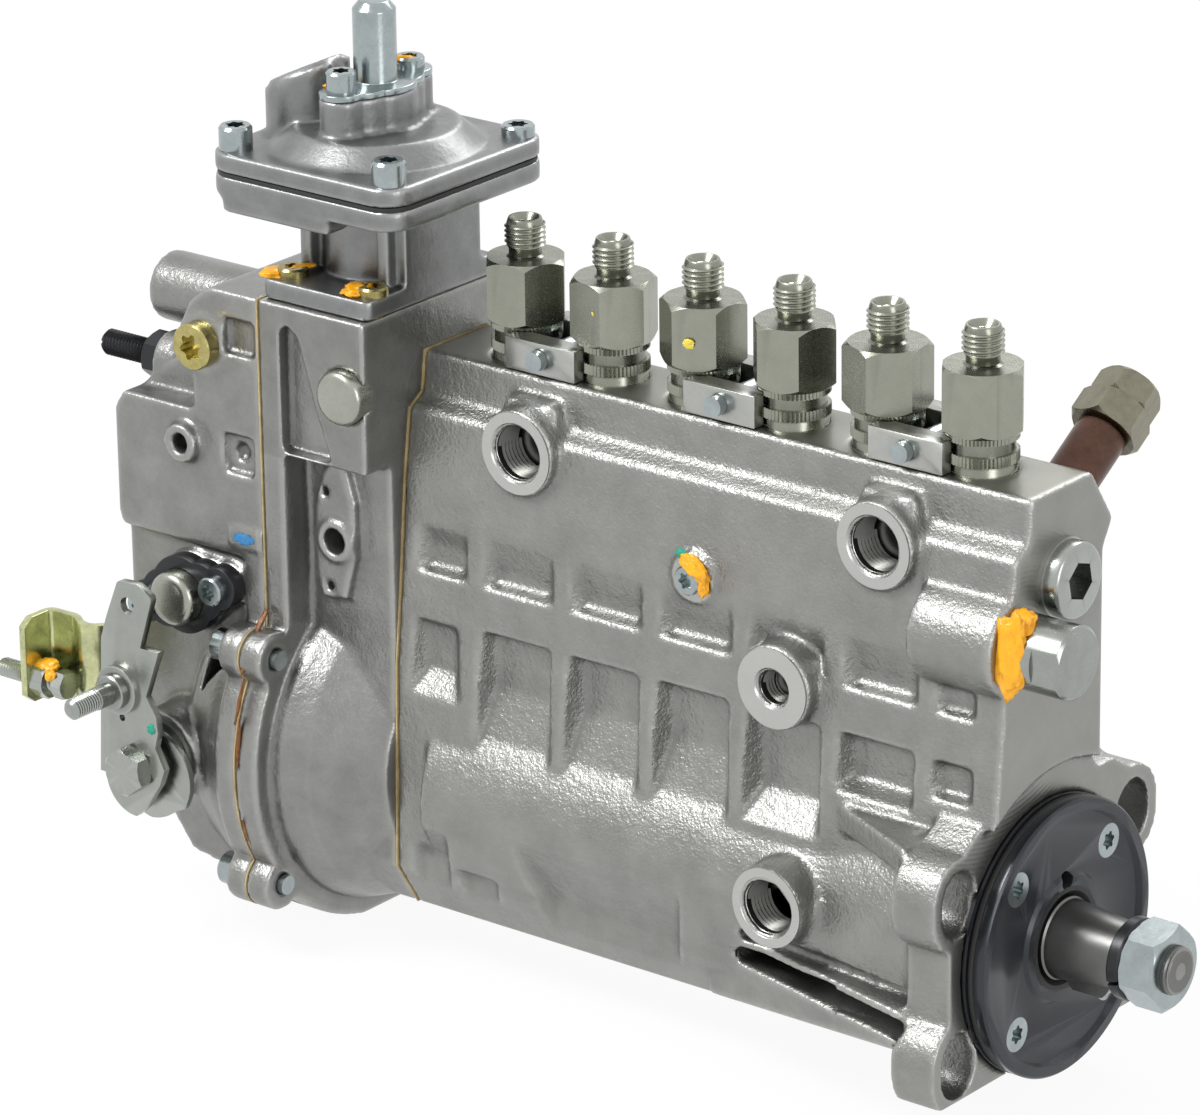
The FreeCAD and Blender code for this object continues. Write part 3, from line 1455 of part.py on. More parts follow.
def governor_housing():
    bulge = turned(
        [
            ("0", "0"),
            ("governor_bulge_radius", "0"),
            ("governor_bulge_radius", "12"),
            ("governor_bulge_radius - 3", "20"),
            ("governor_bulge_radius - 9", "28"),
            ("governor_neck_radius", "rear_x - gasket_thickness - cover_joint_x"),
            ("0", "rear_x - gasket_thickness - cover_joint_x"),
        ],
        ("cover_joint_x", "0", "governor_z"),
        "+X",
    )
    rim = joint_outline("cover_joint_x", "governor_rim_width")
    length = "rear_x - gasket_thickness - cover_joint_x"
    neck = pad("YZ_Plane", HOUSING_SECTION, "rear_x - gasket_thickness - 12", "12")
    middle = box(
        ("cover_joint_x", "mid_front_y", "30"), ("rear_x - gasket_thickness", "mid_back_y", "block_low_z + 2")
    )
    block = box(
        ("cover_joint_x", "block_front_y", "block_low_z"),
        ("rear_x - gasket_thickness", "block_back_y", "block_top_z"),
    )
    lug_plate = pad(
        "XZ_Plane",
        [
            ("lug_plate_x - 9", "lug_plate_z - 1"),
            ("lug_plate_x - 8", "lug_plate_z + 9"),
            ("lug_plate_x - 5", "lug_plate_z + 20"),
            ("lug_plate_x + 1", "lug_plate_z + 27"),
            ("lug_plate_x + 4", "lug_plate_z + 22"),
            ("lug_plate_x + 7", "lug_plate_z + 12"),
            ("lug_plate_x + 7", "lug_plate_z - 4"),
            ("lug_plate_x + 3", "lug_plate_z - 18"),
            ("lug_plate_x - 6", "lug_plate_z - 19"),
            ("lug_plate_x - 8", "lug_plate_z - 12"),
        ],
        "-mid_front_y - 2",
        "6",
    )
    below = box(("cover_joint_x - 1", "-70", "-80"), ("rear_x + 1", "70", "governor_z - governor_radius + 1"))
    cavity = turned(
        [
            ("0", "-1"),
            ("governor_bulge_radius - 5", "-1"),
            ("governor_bulge_radius - 5", "12"),
            ("governor_bulge_radius - 8", "20"),
            ("governor_bulge_radius - 14", "28"),
            ("governor_neck_radius - 6", f"{length} - governor_wall"),
            ("0", f"{length} - governor_wall"),
        ],
        ("cover_joint_x", "0", "governor_z"),
        "+X",
    )
    upper = box(
        ("cover_joint_x - 1", "block_front_y + governor_wall + 11", "20"),
        ("rear_x - gasket_thickness - governor_wall", "block_back_y - governor_wall - 2", "block_top_z - 12"),
    )
    bearing_hole = cylinder("journal_radius + 2", "20", ("rear_x - 15", "0", "0"), "+X")
    rack_hole = cylinder("rack_radius + 0.5", "20", ("rear_x - 15", "rack_y", "rack_z"), "+X")
    rod_hole = cylinder("rod_radius + 3", "30", ("boost_x", "boost_y", "block_top_z - 20"))
    thread = cylinder("4", "8", ("lug_plate_x", "mid_front_y - 4", "lug_plate_z"), "+Y")
    pins = [
        cylinder("1.6", "4", (f"lug_plate_x - {left}", "mid_front_y - 4", f"lug_plate_z + {up}"), "+Y")
        for left, up in ((4, 14), (3, -15))
    ]
    pocket = pad(
        "XZ_Plane",
        [
            ("plug_boss_x - 24.3", "block_low_z + 1"),
            ("plug_boss_x - 5.3", "block_low_z + 1"),
            ("plug_boss_x - 11.3", "plug_z - 6"),
            ("plug_boss_x - 17.3", "block_top_z - 9"),
            ("plug_boss_x - 21.3", "block_top_z - 6"),
            ("plug_boss_x - 24.3", "block_top_z - 8"),
        ],
        "-block_front_y - block_pocket_depth",
        "block_pocket_depth + 1",
    )
    solid = fuse(bulge, *rim, neck, middle, block, lug_plate)
    tools = [below, cavity, upper, bearing_hole, rack_hole, rod_hole, thread, *pins, pocket, SIDE_PLUG, *COVER_BOLTS]
    return cut(solid, *tools, *BOOST_SCREWS[:2])


COVER_OUTLINE = [
    ("cover_joint_x - gasket_thickness", "-40"),
    ("cover_joint_x - gasket_thickness", "block_top_z"),
    ("cover_joint_x - 19", "block_top_z"),
    ("cover_joint_x - 27", "block_top_z - 6"),
    ("cover_joint_x - 32", "block_top_z - 18"),
    ("cover_joint_x - 40", "block_top_z - 27"),
    ("cover_end_x + 4", "block_top_z - 38"),
    ("cover_end_x", "block_top_z - 44"),
    ("cover_end_x", "69"),
    ("cover_end_x + 1.6", "66"),
    ("cover_end_x + 1.6", "14"),
    ("cover_end_x + 10", "-18"),
    ("cover_end_x + 22", "-34"),
]


def retainer_lobes(y, thickness):
    """The two-lobed outline of the retainer plate and of the boss under it."""
    lobes = [cylinder("12", thickness, ("retainer_x", y, "retainer_z"), "+Y")]
    for sign in (-1, 1):
        x = f"retainer_x + {sign} * 0.94 * retainer_screw_offset"
        z = f"retainer_z + {sign} * 0.34 * retainer_screw_offset"
        lobes.append(cylinder("6.5", thickness, (x, y, z), "+Y"))
        lobes.append(cylinder("9", thickness, (f"retainer_x + {sign} * 7", y, f"retainer_z + {sign} * 2.5"), "+Y"))
    return fuse(*lobes)


def shaft_retainer():
    """The dark two-lobed plate that holds the plug of the upper shaft."""
    return retainer_lobes("block_front_y - retainer_height", "retainer_height")


def retainer_screws():
    screws = []
    for sign in (-1, 1):
        x = f"retainer_x + {sign} * 0.94 * retainer_screw_offset"
        z = f"retainer_z + {sign} * 0.34 * retainer_screw_offset"
        screws.append(screw("4.4", "4", "2.5", "12", (x, "block_front_y - retainer_height", z), "-Y"))
    return screws


RETAINER_SCREWS = retainer_screws()
SEALING_PLUG = screw("sealing_plug_radius", "4.5", "5", "9", ("sealing_plug_x", "block_front_y - 1", "sealing_plug_z"), "-Y")
ADJUSTER = cylinder("adjuster_radius", "adjuster_length", ("adjuster_end_x", "adjuster_y", "adjuster_z"), "+X")
ADJUSTER_NUT = prism("adjuster_nut_flats", "6", ("cover_end_x - 1", "adjuster_y", "adjuster_z"), "+X", 15)
CONTROL_BUSH_RADIUS = "control_shaft_radius + fit"


def governor_cover():
    body = pad("XZ_Plane", COVER_OUTLINE, "-cover_back_y", "cover_back_y - block_front_y")
    body = round_corners(body, [2], "6")
    step = box(
        ("cover_end_x - 1", "block_front_y - 1", "-60"), ("cover_joint_x", "cover_front_y", "cover_step_z")
    )
    notch = box(
        ("cover_end_x - 1", "block_front_y - 1", "cover_notch_z"),
        (
            "cover_end_x + cover_notch_length", "block_front_y + cover_notch_depth",
            "cover_notch_z + cover_notch_height",
        ),
    )
    body = cut(body, step, notch)
    retainer_boss = retainer_lobes("block_front_y", "cover_step + 1")
    rim = joint_outline("cover_joint_x - gasket_thickness - governor_rim_width", "governor_rim_width")
    tube = cylinder("tube_radius", "cover_joint_x - tube_end_x - 12", ("tube_end_x", "tube_y", "tube_z"), "+X")
    boss_face_y = "block_front_y - pivot_boss_height"
    boss = cylinder("14", "pivot_boss_height + cover_step", ("pivot_x", boss_face_y, "pivot_z"), "+Y")
    sleeve_room = cylinder(
        "return_sleeve_radius + return_sleeve_room", "block_front_y - pivot_boss_height - lever_y",
        ("pivot_x", "lever_y", "pivot_z"), "+Y",
    )
    nut_boss = cylinder("9", "16", ("cover_end_x + 5", "adjuster_y", "adjuster_z"), "+X")
    plug_boss = cylinder("9", "1", ("sealing_plug_x", "block_front_y - 1", "sealing_plug_z"), "+Y")
    spots = [
        cylinder("6", "4", ("-277.6", "block_front_y - 4", "98"), "+Y"),
        cylinder("4.5", "1.5", ("-258.6", "block_front_y - 1.5", "97.5"), "+Y"),
    ]
    holes = [
        cylinder("3", "10", ("-277.6", "block_front_y - 4", "98"), "+Y"),
        cylinder("3", "7", ("-258.6", "block_front_y - 1.5", "97.5"), "+Y"),
    ]
    hollow = box(
        ("cover_end_x + cover_wall + 2", "block_front_y + cover_wall + 3", "-22"),
        ("cover_joint_x + 1", "block_back_y - cover_wall", "block_top_z - 45"),
    )
    joint = "cover_joint_x - gasket_thickness"
    drum = turned(
        [("0", "0"), ("governor_radius - 2", "0"), ("governor_radius - 4", "14"), ("governor_radius - 10", "26"),
         ("governor_radius - 20", "34"), ("0", "34")],
        (joint, "0", "governor_z"),
        "-X",
    )
    round_part = turned(
        [("0", "-1"), ("governor_radius - 12", "-1"), ("governor_radius - 12", "14"), ("governor_radius - 20", "24"),
         ("0", "24")],
        (joint, "0", "governor_z"),
        "-X",
    )
    seat = cylinder("governor_spring_radius", "30", ("cover_end_x + 4", "0", "0"), "+X")
    spring_seat_cut = box(
        ("weight_pivot_x - 0.3 - governor_sleeve_length - 4 - governor_spring_length", "-20", "-20"), ("-240", "20", "20")
    )
    shaft_bore = cylinder(CONTROL_BUSH_RADIUS, "60", ("pivot_x", "block_front_y - 30", "pivot_z"), "+Y")
    room_low = ("pivot_x + 9", "block_front_y - 4", "pivot_z + 6")
    room_high = ("pivot_x + 22", "cover_front_y + side_room_depth", "pivot_z + 36")
    room = box(room_low, room_high)
    room_wall = box(
        ("pivot_x + 5", "cover_front_y + 3", "pivot_z + 2"),
        ("pivot_x + 26", "cover_front_y + side_room_depth + 4", "pivot_z + 40"),
    )
    head_rooms = [
        cylinder(
            "cover_bolt_head_radius + 0.8", "cover_bolt_room",
            (f"{joint} - governor_rim_width", side, height), "-X",
        )
        for side in ("-cover_bolt_y", "cover_bolt_y")
        for height in ("cover_bolt_top_z", "cover_bolt_low_z")
    ]
    solid = cut(fuse(body, drum, *rim, tube, boss, nut_boss, plug_boss, retainer_boss, *spots), hollow, round_part)
    tools = [shaft_bore, *holes, *COVER_BOLTS, RETAINER_PLUG, *RETAINER_SCREWS, SEALING_PLUG, ADJUSTER, ADJUSTER_NUT]
    return cut(fuse(solid, cut(seat, spring_seat_cut), room_wall), room, sleeve_room, *head_rooms, *tools)


def governor_spring():
    start = "weight_pivot_x - 0.3 - governor_sleeve_length - 4"
    outline = coil_outline("governor_spring_radius - 3.4", "governor_spring_radius", "governor_spring_length", 5)
    return turned(outline, (f"{start} - governor_spring_length", "0", "0"), "+X")


def control_shaft():
    """The shaft that carries the lever outside and a swivel arm inside the cover."""
    shaft = cylinder("control_shaft_radius", "control_shaft_end_y - lever_y", ("pivot_x", "lever_y", "pivot_z"), "+Y")
    arm = box(("pivot_x - 4", "-22", "pivot_z"), ("pivot_x + 4", "-14", "pivot_z + 26"))
    return fuse(shaft, arm)


def control_lever():
    """The lever plate: an ear with a hole on top, the broad blade, and a round foot on the pivot."""
    outline = [
        ("lever_hole_x - 8.7", "lever_hole_z - 5.6"),
        ("lever_hole_x - 3.5", "lever_hole_z + 7.2"),
        ("lever_hole_x + 4.3", "lever_hole_z + 7.6"),
        ("lever_hole_x + 9.8", "lever_hole_z + 4.4"),
        ("lever_hole_x + 4.4", "lever_hole_z - 12.4"),
        ("pivot_x + 11.4", "pivot_z + 39"),
        ("pivot_x + 5.7", "pivot_z + 23.7"),
        ("pivot_x + 9.3", "pivot_z + 18.3"),
        ("pivot_x + 9.9", "pivot_z + 13"),
        ("pivot_x + 8.5", "pivot_z + 8.2"),
        ("pivot_x + 11.9", "pivot_z + 1.8"),
        ("pivot_x + 10", "pivot_z - 3.2"),
        ("pivot_x + 4", "pivot_z - 12"),
        ("pivot_x - 2", "pivot_z - 17.3"),
        ("pivot_x - 10", "pivot_z - 16.8"),
        ("pivot_x - 14", "pivot_z - 11"),
        ("pivot_x - 11.3", "pivot_z + 38.6"),
    ]
    plate = pad("XZ_Plane", outline, "-lever_y", "lever_thickness")
    plate = round_corners(plate, [1, 3, 14], "2")
    hole = cylinder("2.6", "6", ("lever_hole_x", "lever_y - 4", "lever_hole_z"), "+Y")
    small = cylinder("1.1", "6", ("pivot_x - 4", "lever_y - 4", "pivot_z + 15"), "+Y")
    return cut(plate, hole, small, LEVER_BOLT, LEVER_STUD)


def lever_stud():
    front = "lever_y - lever_thickness"
    return turned(
        [
            ("0", "-lever_thickness - 1.5"),
            ("5", "-lever_thickness - 1.5"),
            ("5", "-lever_thickness"),
            ("3", "-lever_thickness"),
            ("3", "0"),
            ("7.5", "0"),
            ("7.5", "2"),
            ("5.5", "2.5"),
            ("5.5", "5"),
            ("3.4", "5.5"),
            ("3.4", "11"),
            ("3", "11.5"),
            ("3", "21"),
            ("2.2", "22"),
            ("0", "22"),
        ],
        ("stud_x", front, "stud_z"),
        "-Y",
    )


LEVER_STUD = lever_stud()
LEVER_BOLT = hex_bolt("13", "5.5", "4", "14", ("pivot_x", "lever_y - lever_thickness", "pivot_z"), "-Y", 20)


def return_plate():
    """The sheet behind the lever that anchors its return spring."""
    y = "lever_y + 2.5"
    disc = cylinder("return_disc_radius", "2", ("pivot_x", y, "pivot_z"), "+Y")
    tab = pad(
        "XZ_Plane",
        [
            ("pivot_x + 4", "pivot_z - 16"),
            ("pivot_x + 22", "pivot_z - 8"),
            ("pivot_x + 21", "pivot_z + 2"),
            ("pivot_x + 16", "pivot_z + 17"),
            ("pivot_x + 4", "pivot_z + 17"),
        ],
        f"-({y}) - 2",
        "2",
    )
    sleeve = cylinder(
        "return_sleeve_radius", "block_front_y - pivot_boss_height - lever_y - 4.5",
        ("pivot_x", "lever_y + 4.5", "pivot_z"), "+Y",
    )
    return cut(fuse(disc, tab, sleeve), cylinder(CONTROL_BUSH_RADIUS, "40", ("pivot_x", "lever_y - 2", "pivot_z"), "+Y"))


def stop_bracket():
    """The pressed bracket beside the lever that carries the stop screw."""
    back = "bracket_y + bracket_thickness"
    low, high = "bracket_low_z", "bracket_top_z"
    near = "bracket_right_x + bracket_thickness"
    web = box(("bracket_left_x", "bracket_y", low), ("bracket_right_x", back, high))
    side = box(
        ("bracket_left_x", "bracket_y - bracket_flange", low), ("bracket_left_x + bracket_thickness", back, high)
    )
    foot = box(("bracket_right_x", "bracket_y", f"{low} + 2"), (near, "cover_front_y", f"{high} - 6"))
    base = box(
        ("bracket_right_x", "cover_front_y - bracket_thickness", f"{low} + 6"),
        ("bracket_right_x + 10", "cover_front_y", f"{high} - 6"),
    )
    hole = cylinder("stop_screw_radius", "8", ("bracket_left_x - 3", "stop_screw_y", "stop_screw_z"), "+X")
    return cut(fuse(web, side, foot, base), hole)


def stop_screw():
    end_x = "bracket_left_x - 12"
    rod = cylinder("stop_screw_radius", "stop_screw_length", (end_x, "stop_screw_y", "stop_screw_z"), "+X")
    nut_x = "bracket_left_x + bracket_thickness"
    nut = prism("stop_nut_flats", "5", (nut_x, "stop_screw_y", "stop_screw_z"), "+X", 20)
    head = prism("stop_nut_flats", "4", (f"{end_x} + stop_screw_length - 4", "stop_screw_y", "stop_screw_z"), "+X", 5)
    return fuse(rod, nut, head)


def square_plate(half, start, height):
    """A square plate with round corners on the boost unit's axis."""
    corners = [
        (f"boost_x {across} ({half})", f"boost_y {along} ({half})")
        for across, along in (("-", "-"), ("+", "-"), ("+", "+"), ("-", "+"))
    ]
    return round_corners(pad("XY_Plane", corners, start, height), range(4), "flange_corner")


def boost_housing():
    """Foot plate, ribbed column and lower half of the diaphragm flange, with the bore for the push rod."""
    foot = pad(
        "XY_Plane",
        [
            ("boost_x - 21", "block_front_y + 2"),
            ("rear_x", "block_front_y + 2"),
            ("rear_x", "block_back_y"),
            ("boost_x - 21", "block_back_y"),
        ],
        "block_top_z",
        "boost_plate_thickness",
    )
    foot = round_corners(foot, [0, 1], "3")
    column = box(
        ("boost_x - column_half_x", "boost_y - column_half_y + 4", "block_top_z"),
        ("boost_x + column_half_x", "boost_y + column_half_y + 8", "boost_flange_low_z + 1"),
    )
    ribs = [
        box(
            (f"boost_x + {shift}", "boost_y - column_half_y - 1", "block_top_z"),
            (f"boost_x + {shift} + 4", "boost_y", "boost_flange_low_z + 1"),
        )
        for shift in (-17, 12)
    ]
    port = cylinder("9", "18", ("boost_x - 22", "boost_y + 6", "167"), "+X")
    flange_plate = square_plate(
        "flange_half", "boost_flange_low_z", "diaphragm_z - diaphragm_thickness / 2 - boost_flange_low_z"
    )
    core = cylinder(
        "column_core_radius", "boost_flange_low_z + 1 - block_top_z", ("boost_x", "boost_y", "block_top_z")
    )
    chamber = cylinder("24", "diaphragm_z - boost_flange_low_z", ("boost_x", "boost_y", "boost_flange_low_z + 2"))
    deep = cylinder("rod_disc_radius + 0.6", "rod_travel + 6", ("boost_x", "boost_y", "diaphragm_z - rod_travel - 3.5"))
    bore = cylinder("rod_radius + fit", "60", ("boost_x", "boost_y", "block_top_z - 1"))
    spring_room = cylinder("12.5", "22", ("boost_x", "boost_y", "diaphragm_z - 29"))
    solid = fuse(foot, column, core, *ribs, port, flange_plate)
    return cut(solid, chamber, deep, bore, spring_room, *BOOST_SCREWS[:6])


def diaphragm():
    sheet_body = square_plate("flange_half - 0.4", "diaphragm_z - diaphragm_thickness / 2", "diaphragm_thickness")
    hole = cylinder("rod_disc_radius + 0.5", "6", ("boost_x", "boost_y", "diaphragm_z - 3"))
    return cut(sheet_body, hole, *BOOST_SCREWS[2:6])


def boost_cover():
    """The domed cover of the boost unit with its two-screw boss and the slanted air port."""
    low = "diaphragm_z + diaphragm_thickness / 2"
    flange_plate = square_plate("flange_half", low, f"boost_flange_top_z - ({low})")
    dome = cone("31", "24", "boost_dome_top_z - boost_flange_top_z", ("boost_x", "boost_y", "boost_flange_top_z"))
    boss = lozenge("boost_dome_top_z - 3", "boost_boss_top_z - boost_dome_top_z + 3")
    tilt = Rotation(Vector(0, 1, 0), -SIZES["air_port_tilt"])
    mouth = ("air_port_x", "air_port_y", "air_port_z")
    port = cylinder("air_port_radius", "air_port_height + 9", ("air_port_x", "air_port_y", "boost_flange_top_z - 1"))
    face = cylinder("2 * air_port_radius", "30", ("0", "0", "0"))
    place(face, mouth, tilt)
    bore = cylinder("air_port_bore_radius", "24", ("0", "0", "0"))
    drop = tilt.multVec(Vector(0, 0, -20))
    place(bore, (f"air_port_x + {drop.x}", "air_port_y", f"air_port_z + {drop.z}"), tilt)
    room = cone("24", "14", "10", ("boost_x", "boost_y", low))
    above = lozenge("boost_boss_top_z", "20", 0.4)
    solid = fuse(flange_plate, dome, boss, cut(port, face))
    return cut(solid, room, bore, above, rod_room(), *BOOST_SCREWS[2:])


def rod_room():
    return cylinder("rod_radius + 1", "60", ("boost_x", "boost_y", "diaphragm_z"))


def lozenge(start, height, margin=0):
    """A two-lobed boss whose ends carry the screws of the pin cap."""
    middle = cylinder(f"12 + {margin}", height, ("boost_x", "boost_y", start))
    ends = []
    for sign in (-1, 1):
        ends.append(cylinder(f"6.5 + {margin}", height, ("boost_x", f"boost_y + {sign} * 15", start)))
        ends.append(cylinder(f"9.5 + {margin}", height, ("boost_x", f"boost_y + {sign} * 7", start)))
    return fuse(middle, *ends)


def pin_cap():
    """The zinc plate with the closed tube that covers the end of the push rod."""
    plate = lozenge("boost_boss_top_z", "cap_plate_thickness")
    start = "boost_boss_top_z"
    tube = turned(
        [
            ("rod_radius + 1", "0"),
            ("pin_cap_radius", "0"),
            ("pin_cap_radius", f"pin_cap_top_z - {start} - 2.4"),
            ("pin_cap_radius - 2", f"pin_cap_top_z - {start}"),
            ("0", f"pin_cap_top_z - {start}"),
            ("0", f"pin_cap_top_z - {start} - 1.5"),
            ("rod_radius + 1", f"pin_cap_top_z - {start} - 1.5"),
        ],
        ("boost_x", "boost_y", start),
    )
    hole = cylinder("pin_cap_radius - 0.5", "4", ("boost_x", "boost_y", "boost_boss_top_z - 1"))
    return cut(fuse(cut(plate, hole), tube), *BOOST_SCREWS[6:])


def boost_rod():
    """The push rod with the two discs that hold the middle of the diaphragm."""
    return turned(
        [
            ("0", "-50"),
            ("rod_radius", "-50"),
            ("rod_radius", "-2.6"),
            ("rod_disc_radius", "-2.6"),
            ("rod_disc_radius", "2.6"),
            ("rod_radius", "2.6"),
            ("rod_radius", "30"),
            ("0", "30"),
        ],
        ("boost_x", "boost_y", "diaphragm_z"),
    )


def boost_spring():
    low = "diaphragm_z - 29"
    outline = coil_outline("9", "12", "(29 - 2.8 - rod_travel)", 4)
    return turned(outline, ("boost_x", "boost_y", low))


node("core_plugs", group([SIDE_PLUG, RETAINER_PLUG]))
node("governor_housing", governor_housing())
node("governor_gaskets", governor_gaskets())
node("governor_cover", governor_cover())
node("cover_bolts", group(COVER_BOLTS))
node("shaft_retainer", cut(shaft_retainer(), RETAINER_PLUG, *RETAINER_SCREWS))
node("retainer_screws", group(RETAINER_SCREWS))
node("sealing_plug", SEALING_PLUG)
node("adjusting_screw", group([ADJUSTER, cut(ADJUSTER_NUT, ADJUSTER)]))
node("governor_spring", governor_spring())
node("control_shaft", cut(control_shaft(), LEVER_BOLT))
node("control_lever", control_lever())
node("lever_fasteners", group([LEVER_BOLT, LEVER_STUD]))
node("return_plate", return_plate())
node("stop_bracket", stop_bracket())
node("stop_screw", stop_screw())
node("boost_housing", boost_housing())
node("diaphragm", diaphragm())
node("boost_cover", boost_cover())
node("boost_rod", boost_rod())
node("boost_spring", boost_spring())
node("pin_cap", pin_cap())
node("boost_screws", group(BOOST_SCREWS))


def check_and_export():
    doc.recompute()
    failed = [o.Name for o in doc.Objects if "Invalid" in o.State or "Error" in o.State]
    if failed:
        raise RuntimeError(f"these objects failed: {failed}")
    os.makedirs("parts", exist_ok=True)
    for thing in nodes:
        shape = thing.Shape
        if shape.isNull() or not shape.isValid():
            raise RuntimeError(f"{thing.Label} has no valid shape")
        shape.exportStep(f"parts/{thing.Label}.step")
        print(thing.Label, len(shape.Solids), round(shape.Volume))


check_and_export()
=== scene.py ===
# %% [markdown]
# # A diesel injection pump, dressed for its portrait
# The shape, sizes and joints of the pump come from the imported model, the frame. This script gives every
# casting, plated screw and steel fitting its surface, and models the fine forms that a camera sees: rounded
# casting edges, threads, knurls, recesses and dabs of sealing paint. Lengths in the code are a drawing's
# millimetres, and MM turns them into Blender's metres.

# %% Load the frame
import math

import bpy
from mathutils import Matrix, Vector


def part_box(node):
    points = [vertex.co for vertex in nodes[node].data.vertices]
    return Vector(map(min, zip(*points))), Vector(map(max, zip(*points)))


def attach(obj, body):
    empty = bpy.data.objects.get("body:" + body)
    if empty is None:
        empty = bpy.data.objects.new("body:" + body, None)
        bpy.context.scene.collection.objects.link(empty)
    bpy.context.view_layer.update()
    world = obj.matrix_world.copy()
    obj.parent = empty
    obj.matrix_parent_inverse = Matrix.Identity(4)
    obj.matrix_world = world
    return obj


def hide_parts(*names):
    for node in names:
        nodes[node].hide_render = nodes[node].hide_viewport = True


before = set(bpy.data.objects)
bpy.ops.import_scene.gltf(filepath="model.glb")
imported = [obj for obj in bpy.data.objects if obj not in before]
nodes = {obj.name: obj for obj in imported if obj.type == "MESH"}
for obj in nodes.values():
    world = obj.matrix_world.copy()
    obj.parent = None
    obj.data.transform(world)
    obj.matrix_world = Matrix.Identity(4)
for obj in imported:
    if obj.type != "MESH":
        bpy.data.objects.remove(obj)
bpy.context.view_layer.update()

MM = 0.001
scene = bpy.context.scene

# %% [markdown]
# ## The camera
# A long lens far away shows the pump almost without perspective, as catalogue photographs do. The angles are
# those at which the six studs, the flange and the governor fall where the photograph has them.

# %% Place the camera
AZIMUTH = math.radians(38.929)
ELEVATION = math.radians(20.598)
ROLL = math.radians(-0.829)
AIM = Vector((-173.8, 20.4, 65.9)) * MM
CAMERA_DISTANCE = 1974 * MM
LENS = 203.5
SENSOR = 36

lens_data = bpy.data.cameras.new("catalogue_lens")
lens_data.lens = LENS
lens_data.sensor_width = SENSOR
lens_data.clip_end = 20
camera = bpy.data.objects.new("catalogue_camera", lens_data)
scene.collection.objects.link(camera)
scene.camera = camera

right = Vector((math.cos(AZIMUTH), math.sin(AZIMUTH), 0))
forward = Vector(
    (-math.sin(AZIMUTH) * math.cos(ELEVATION), math.cos(AZIMUTH) * math.cos(ELEVATION), -math.sin(ELEVATION))
)
above = right.cross(forward)
rolled_right = math.cos(ROLL) * right + math.sin(ROLL) * above
rolled_up = -math.sin(ROLL) * right + math.cos(ROLL) * above
turn = Matrix((rolled_right, rolled_up, -forward)).transposed()
camera.matrix_world = Matrix.Translation(AIM - forward * CAMERA_DISTANCE) @ turn.to_4x4()
print("camera at", [round(v, 3) for v in camera.matrix_world.translation])

# %% [markdown]
# ## Studio
# The pump stands on white paper in a white room, lit by a broad lamp above the left shoulder, a weaker one at
# the right and one from behind. Metal looks like what stands round it, so the white room also shows in its
# reflections. The lamps then only have to lift the sides that face them.

# %% Light the studio
FLOOR_DROP = 0.2 * MM
FLOOR_SIZE = 8
WHITE = (1, 1, 1, 1)
PAPER_GREY = (0.92, 0.92, 0.92, 1)
PAPER_GLOW = 0.93
SKY_STRENGTH = 0.75
SKY_GREYS = [(0.0, 0.3), (0.45, 0.34), (0.62, 0.5), (1.0, 0.9)]


def new_material(name):
    """A material with an empty node tree, and that tree."""
    material = bpy.data.materials.new(name)
    material.use_nodes = True
    material.node_tree.nodes.clear()
    return material, material.node_tree


class Tree:
    """Short hands for building a node tree."""

    def __init__(self, tree):
        self.tree = tree

    def add(self, kind, settings=None, **inputs):
        made = self.tree.nodes.new(kind)
        for key, value in (settings or {}).items():
            setattr(made, key, value)
        for key, value in inputs.items():
            self.feed(made, key.replace("_", " "), value)
        return made

    def feed(self, made, key, value):
        socket = made.inputs[int(key)] if key.isdigit() else made.inputs[key]
        if isinstance(value, bpy.types.NodeSocket):
            self.tree.links.new(value, socket)
        else:
            socket.default_value = value

    def math(self, operation, first, second=0.0, third=0.0):
        made = self.tree.nodes.new("ShaderNodeMath")
        made.operation = operation
        for key, value in (("0", first), ("1", second), ("2", third)):
            self.feed(made, key, value)
        return made.outputs[0]

    def ramp(self, value, stops):
        made = self.tree.nodes.new("ShaderNodeValToRGB")
        self.tree.links.new(value, made.inputs[0])
        elements = made.color_ramp.elements
        while len(elements) < len(stops):
            elements.new(0.5)
        for element, (position, shade) in zip(elements, stops):
            element.position = position
            grey = (shade, shade, shade) if isinstance(shade, (int, float)) else shade
            element.color = (*grey, 1)
        return made.outputs[0]

    def mix(self, factor, first, second, blend="MIX"):
        made = self.tree.nodes.new("ShaderNodeMix")
        made.data_type = "RGBA"
        made.blend_type = blend
        for key, value in ((0, factor), (6, first), (7, second)):
            if isinstance(value, bpy.types.NodeSocket):
                self.tree.links.new(value, made.inputs[key])
            else:
                made.inputs[key].default_value = value if key == 0 else (*value, 1)
        return made.outputs[2]

    def noise(self, place, size, detail=3.0, rough=0.5):
        """Clouds of about this size in millimetres."""
        scale = 1 / (size * MM)
        made = self.add("ShaderNodeTexNoise", Vector=place, Scale=scale, Detail=detail, Roughness=rough)
        return made.outputs["Fac"]

    def seen_as_paper(self):
        """1 for the rays that should meet plain white paper: those of the camera and of reflections."""
        rays = self.add("ShaderNodeLightPath")
        either = self.math("MAXIMUM", rays.outputs["Is Camera Ray"], rays.outputs["Is Glossy Ray"])
        return self.math("MAXIMUM", either, rays.outputs["Is Transmission Ray"])

    def blend(self, factor, first, second, output):
        """Sends the first shader to the output where the factor is 0, and the second where it is 1."""
        join = self.add("ShaderNodeMixShader")
        for key, socket in enumerate((factor, first.outputs[0], second.outputs[0])):
            self.tree.links.new(socket, join.inputs[key])
        out = self.add(output)
        self.tree.links.new(join.outputs[0], out.inputs[0])


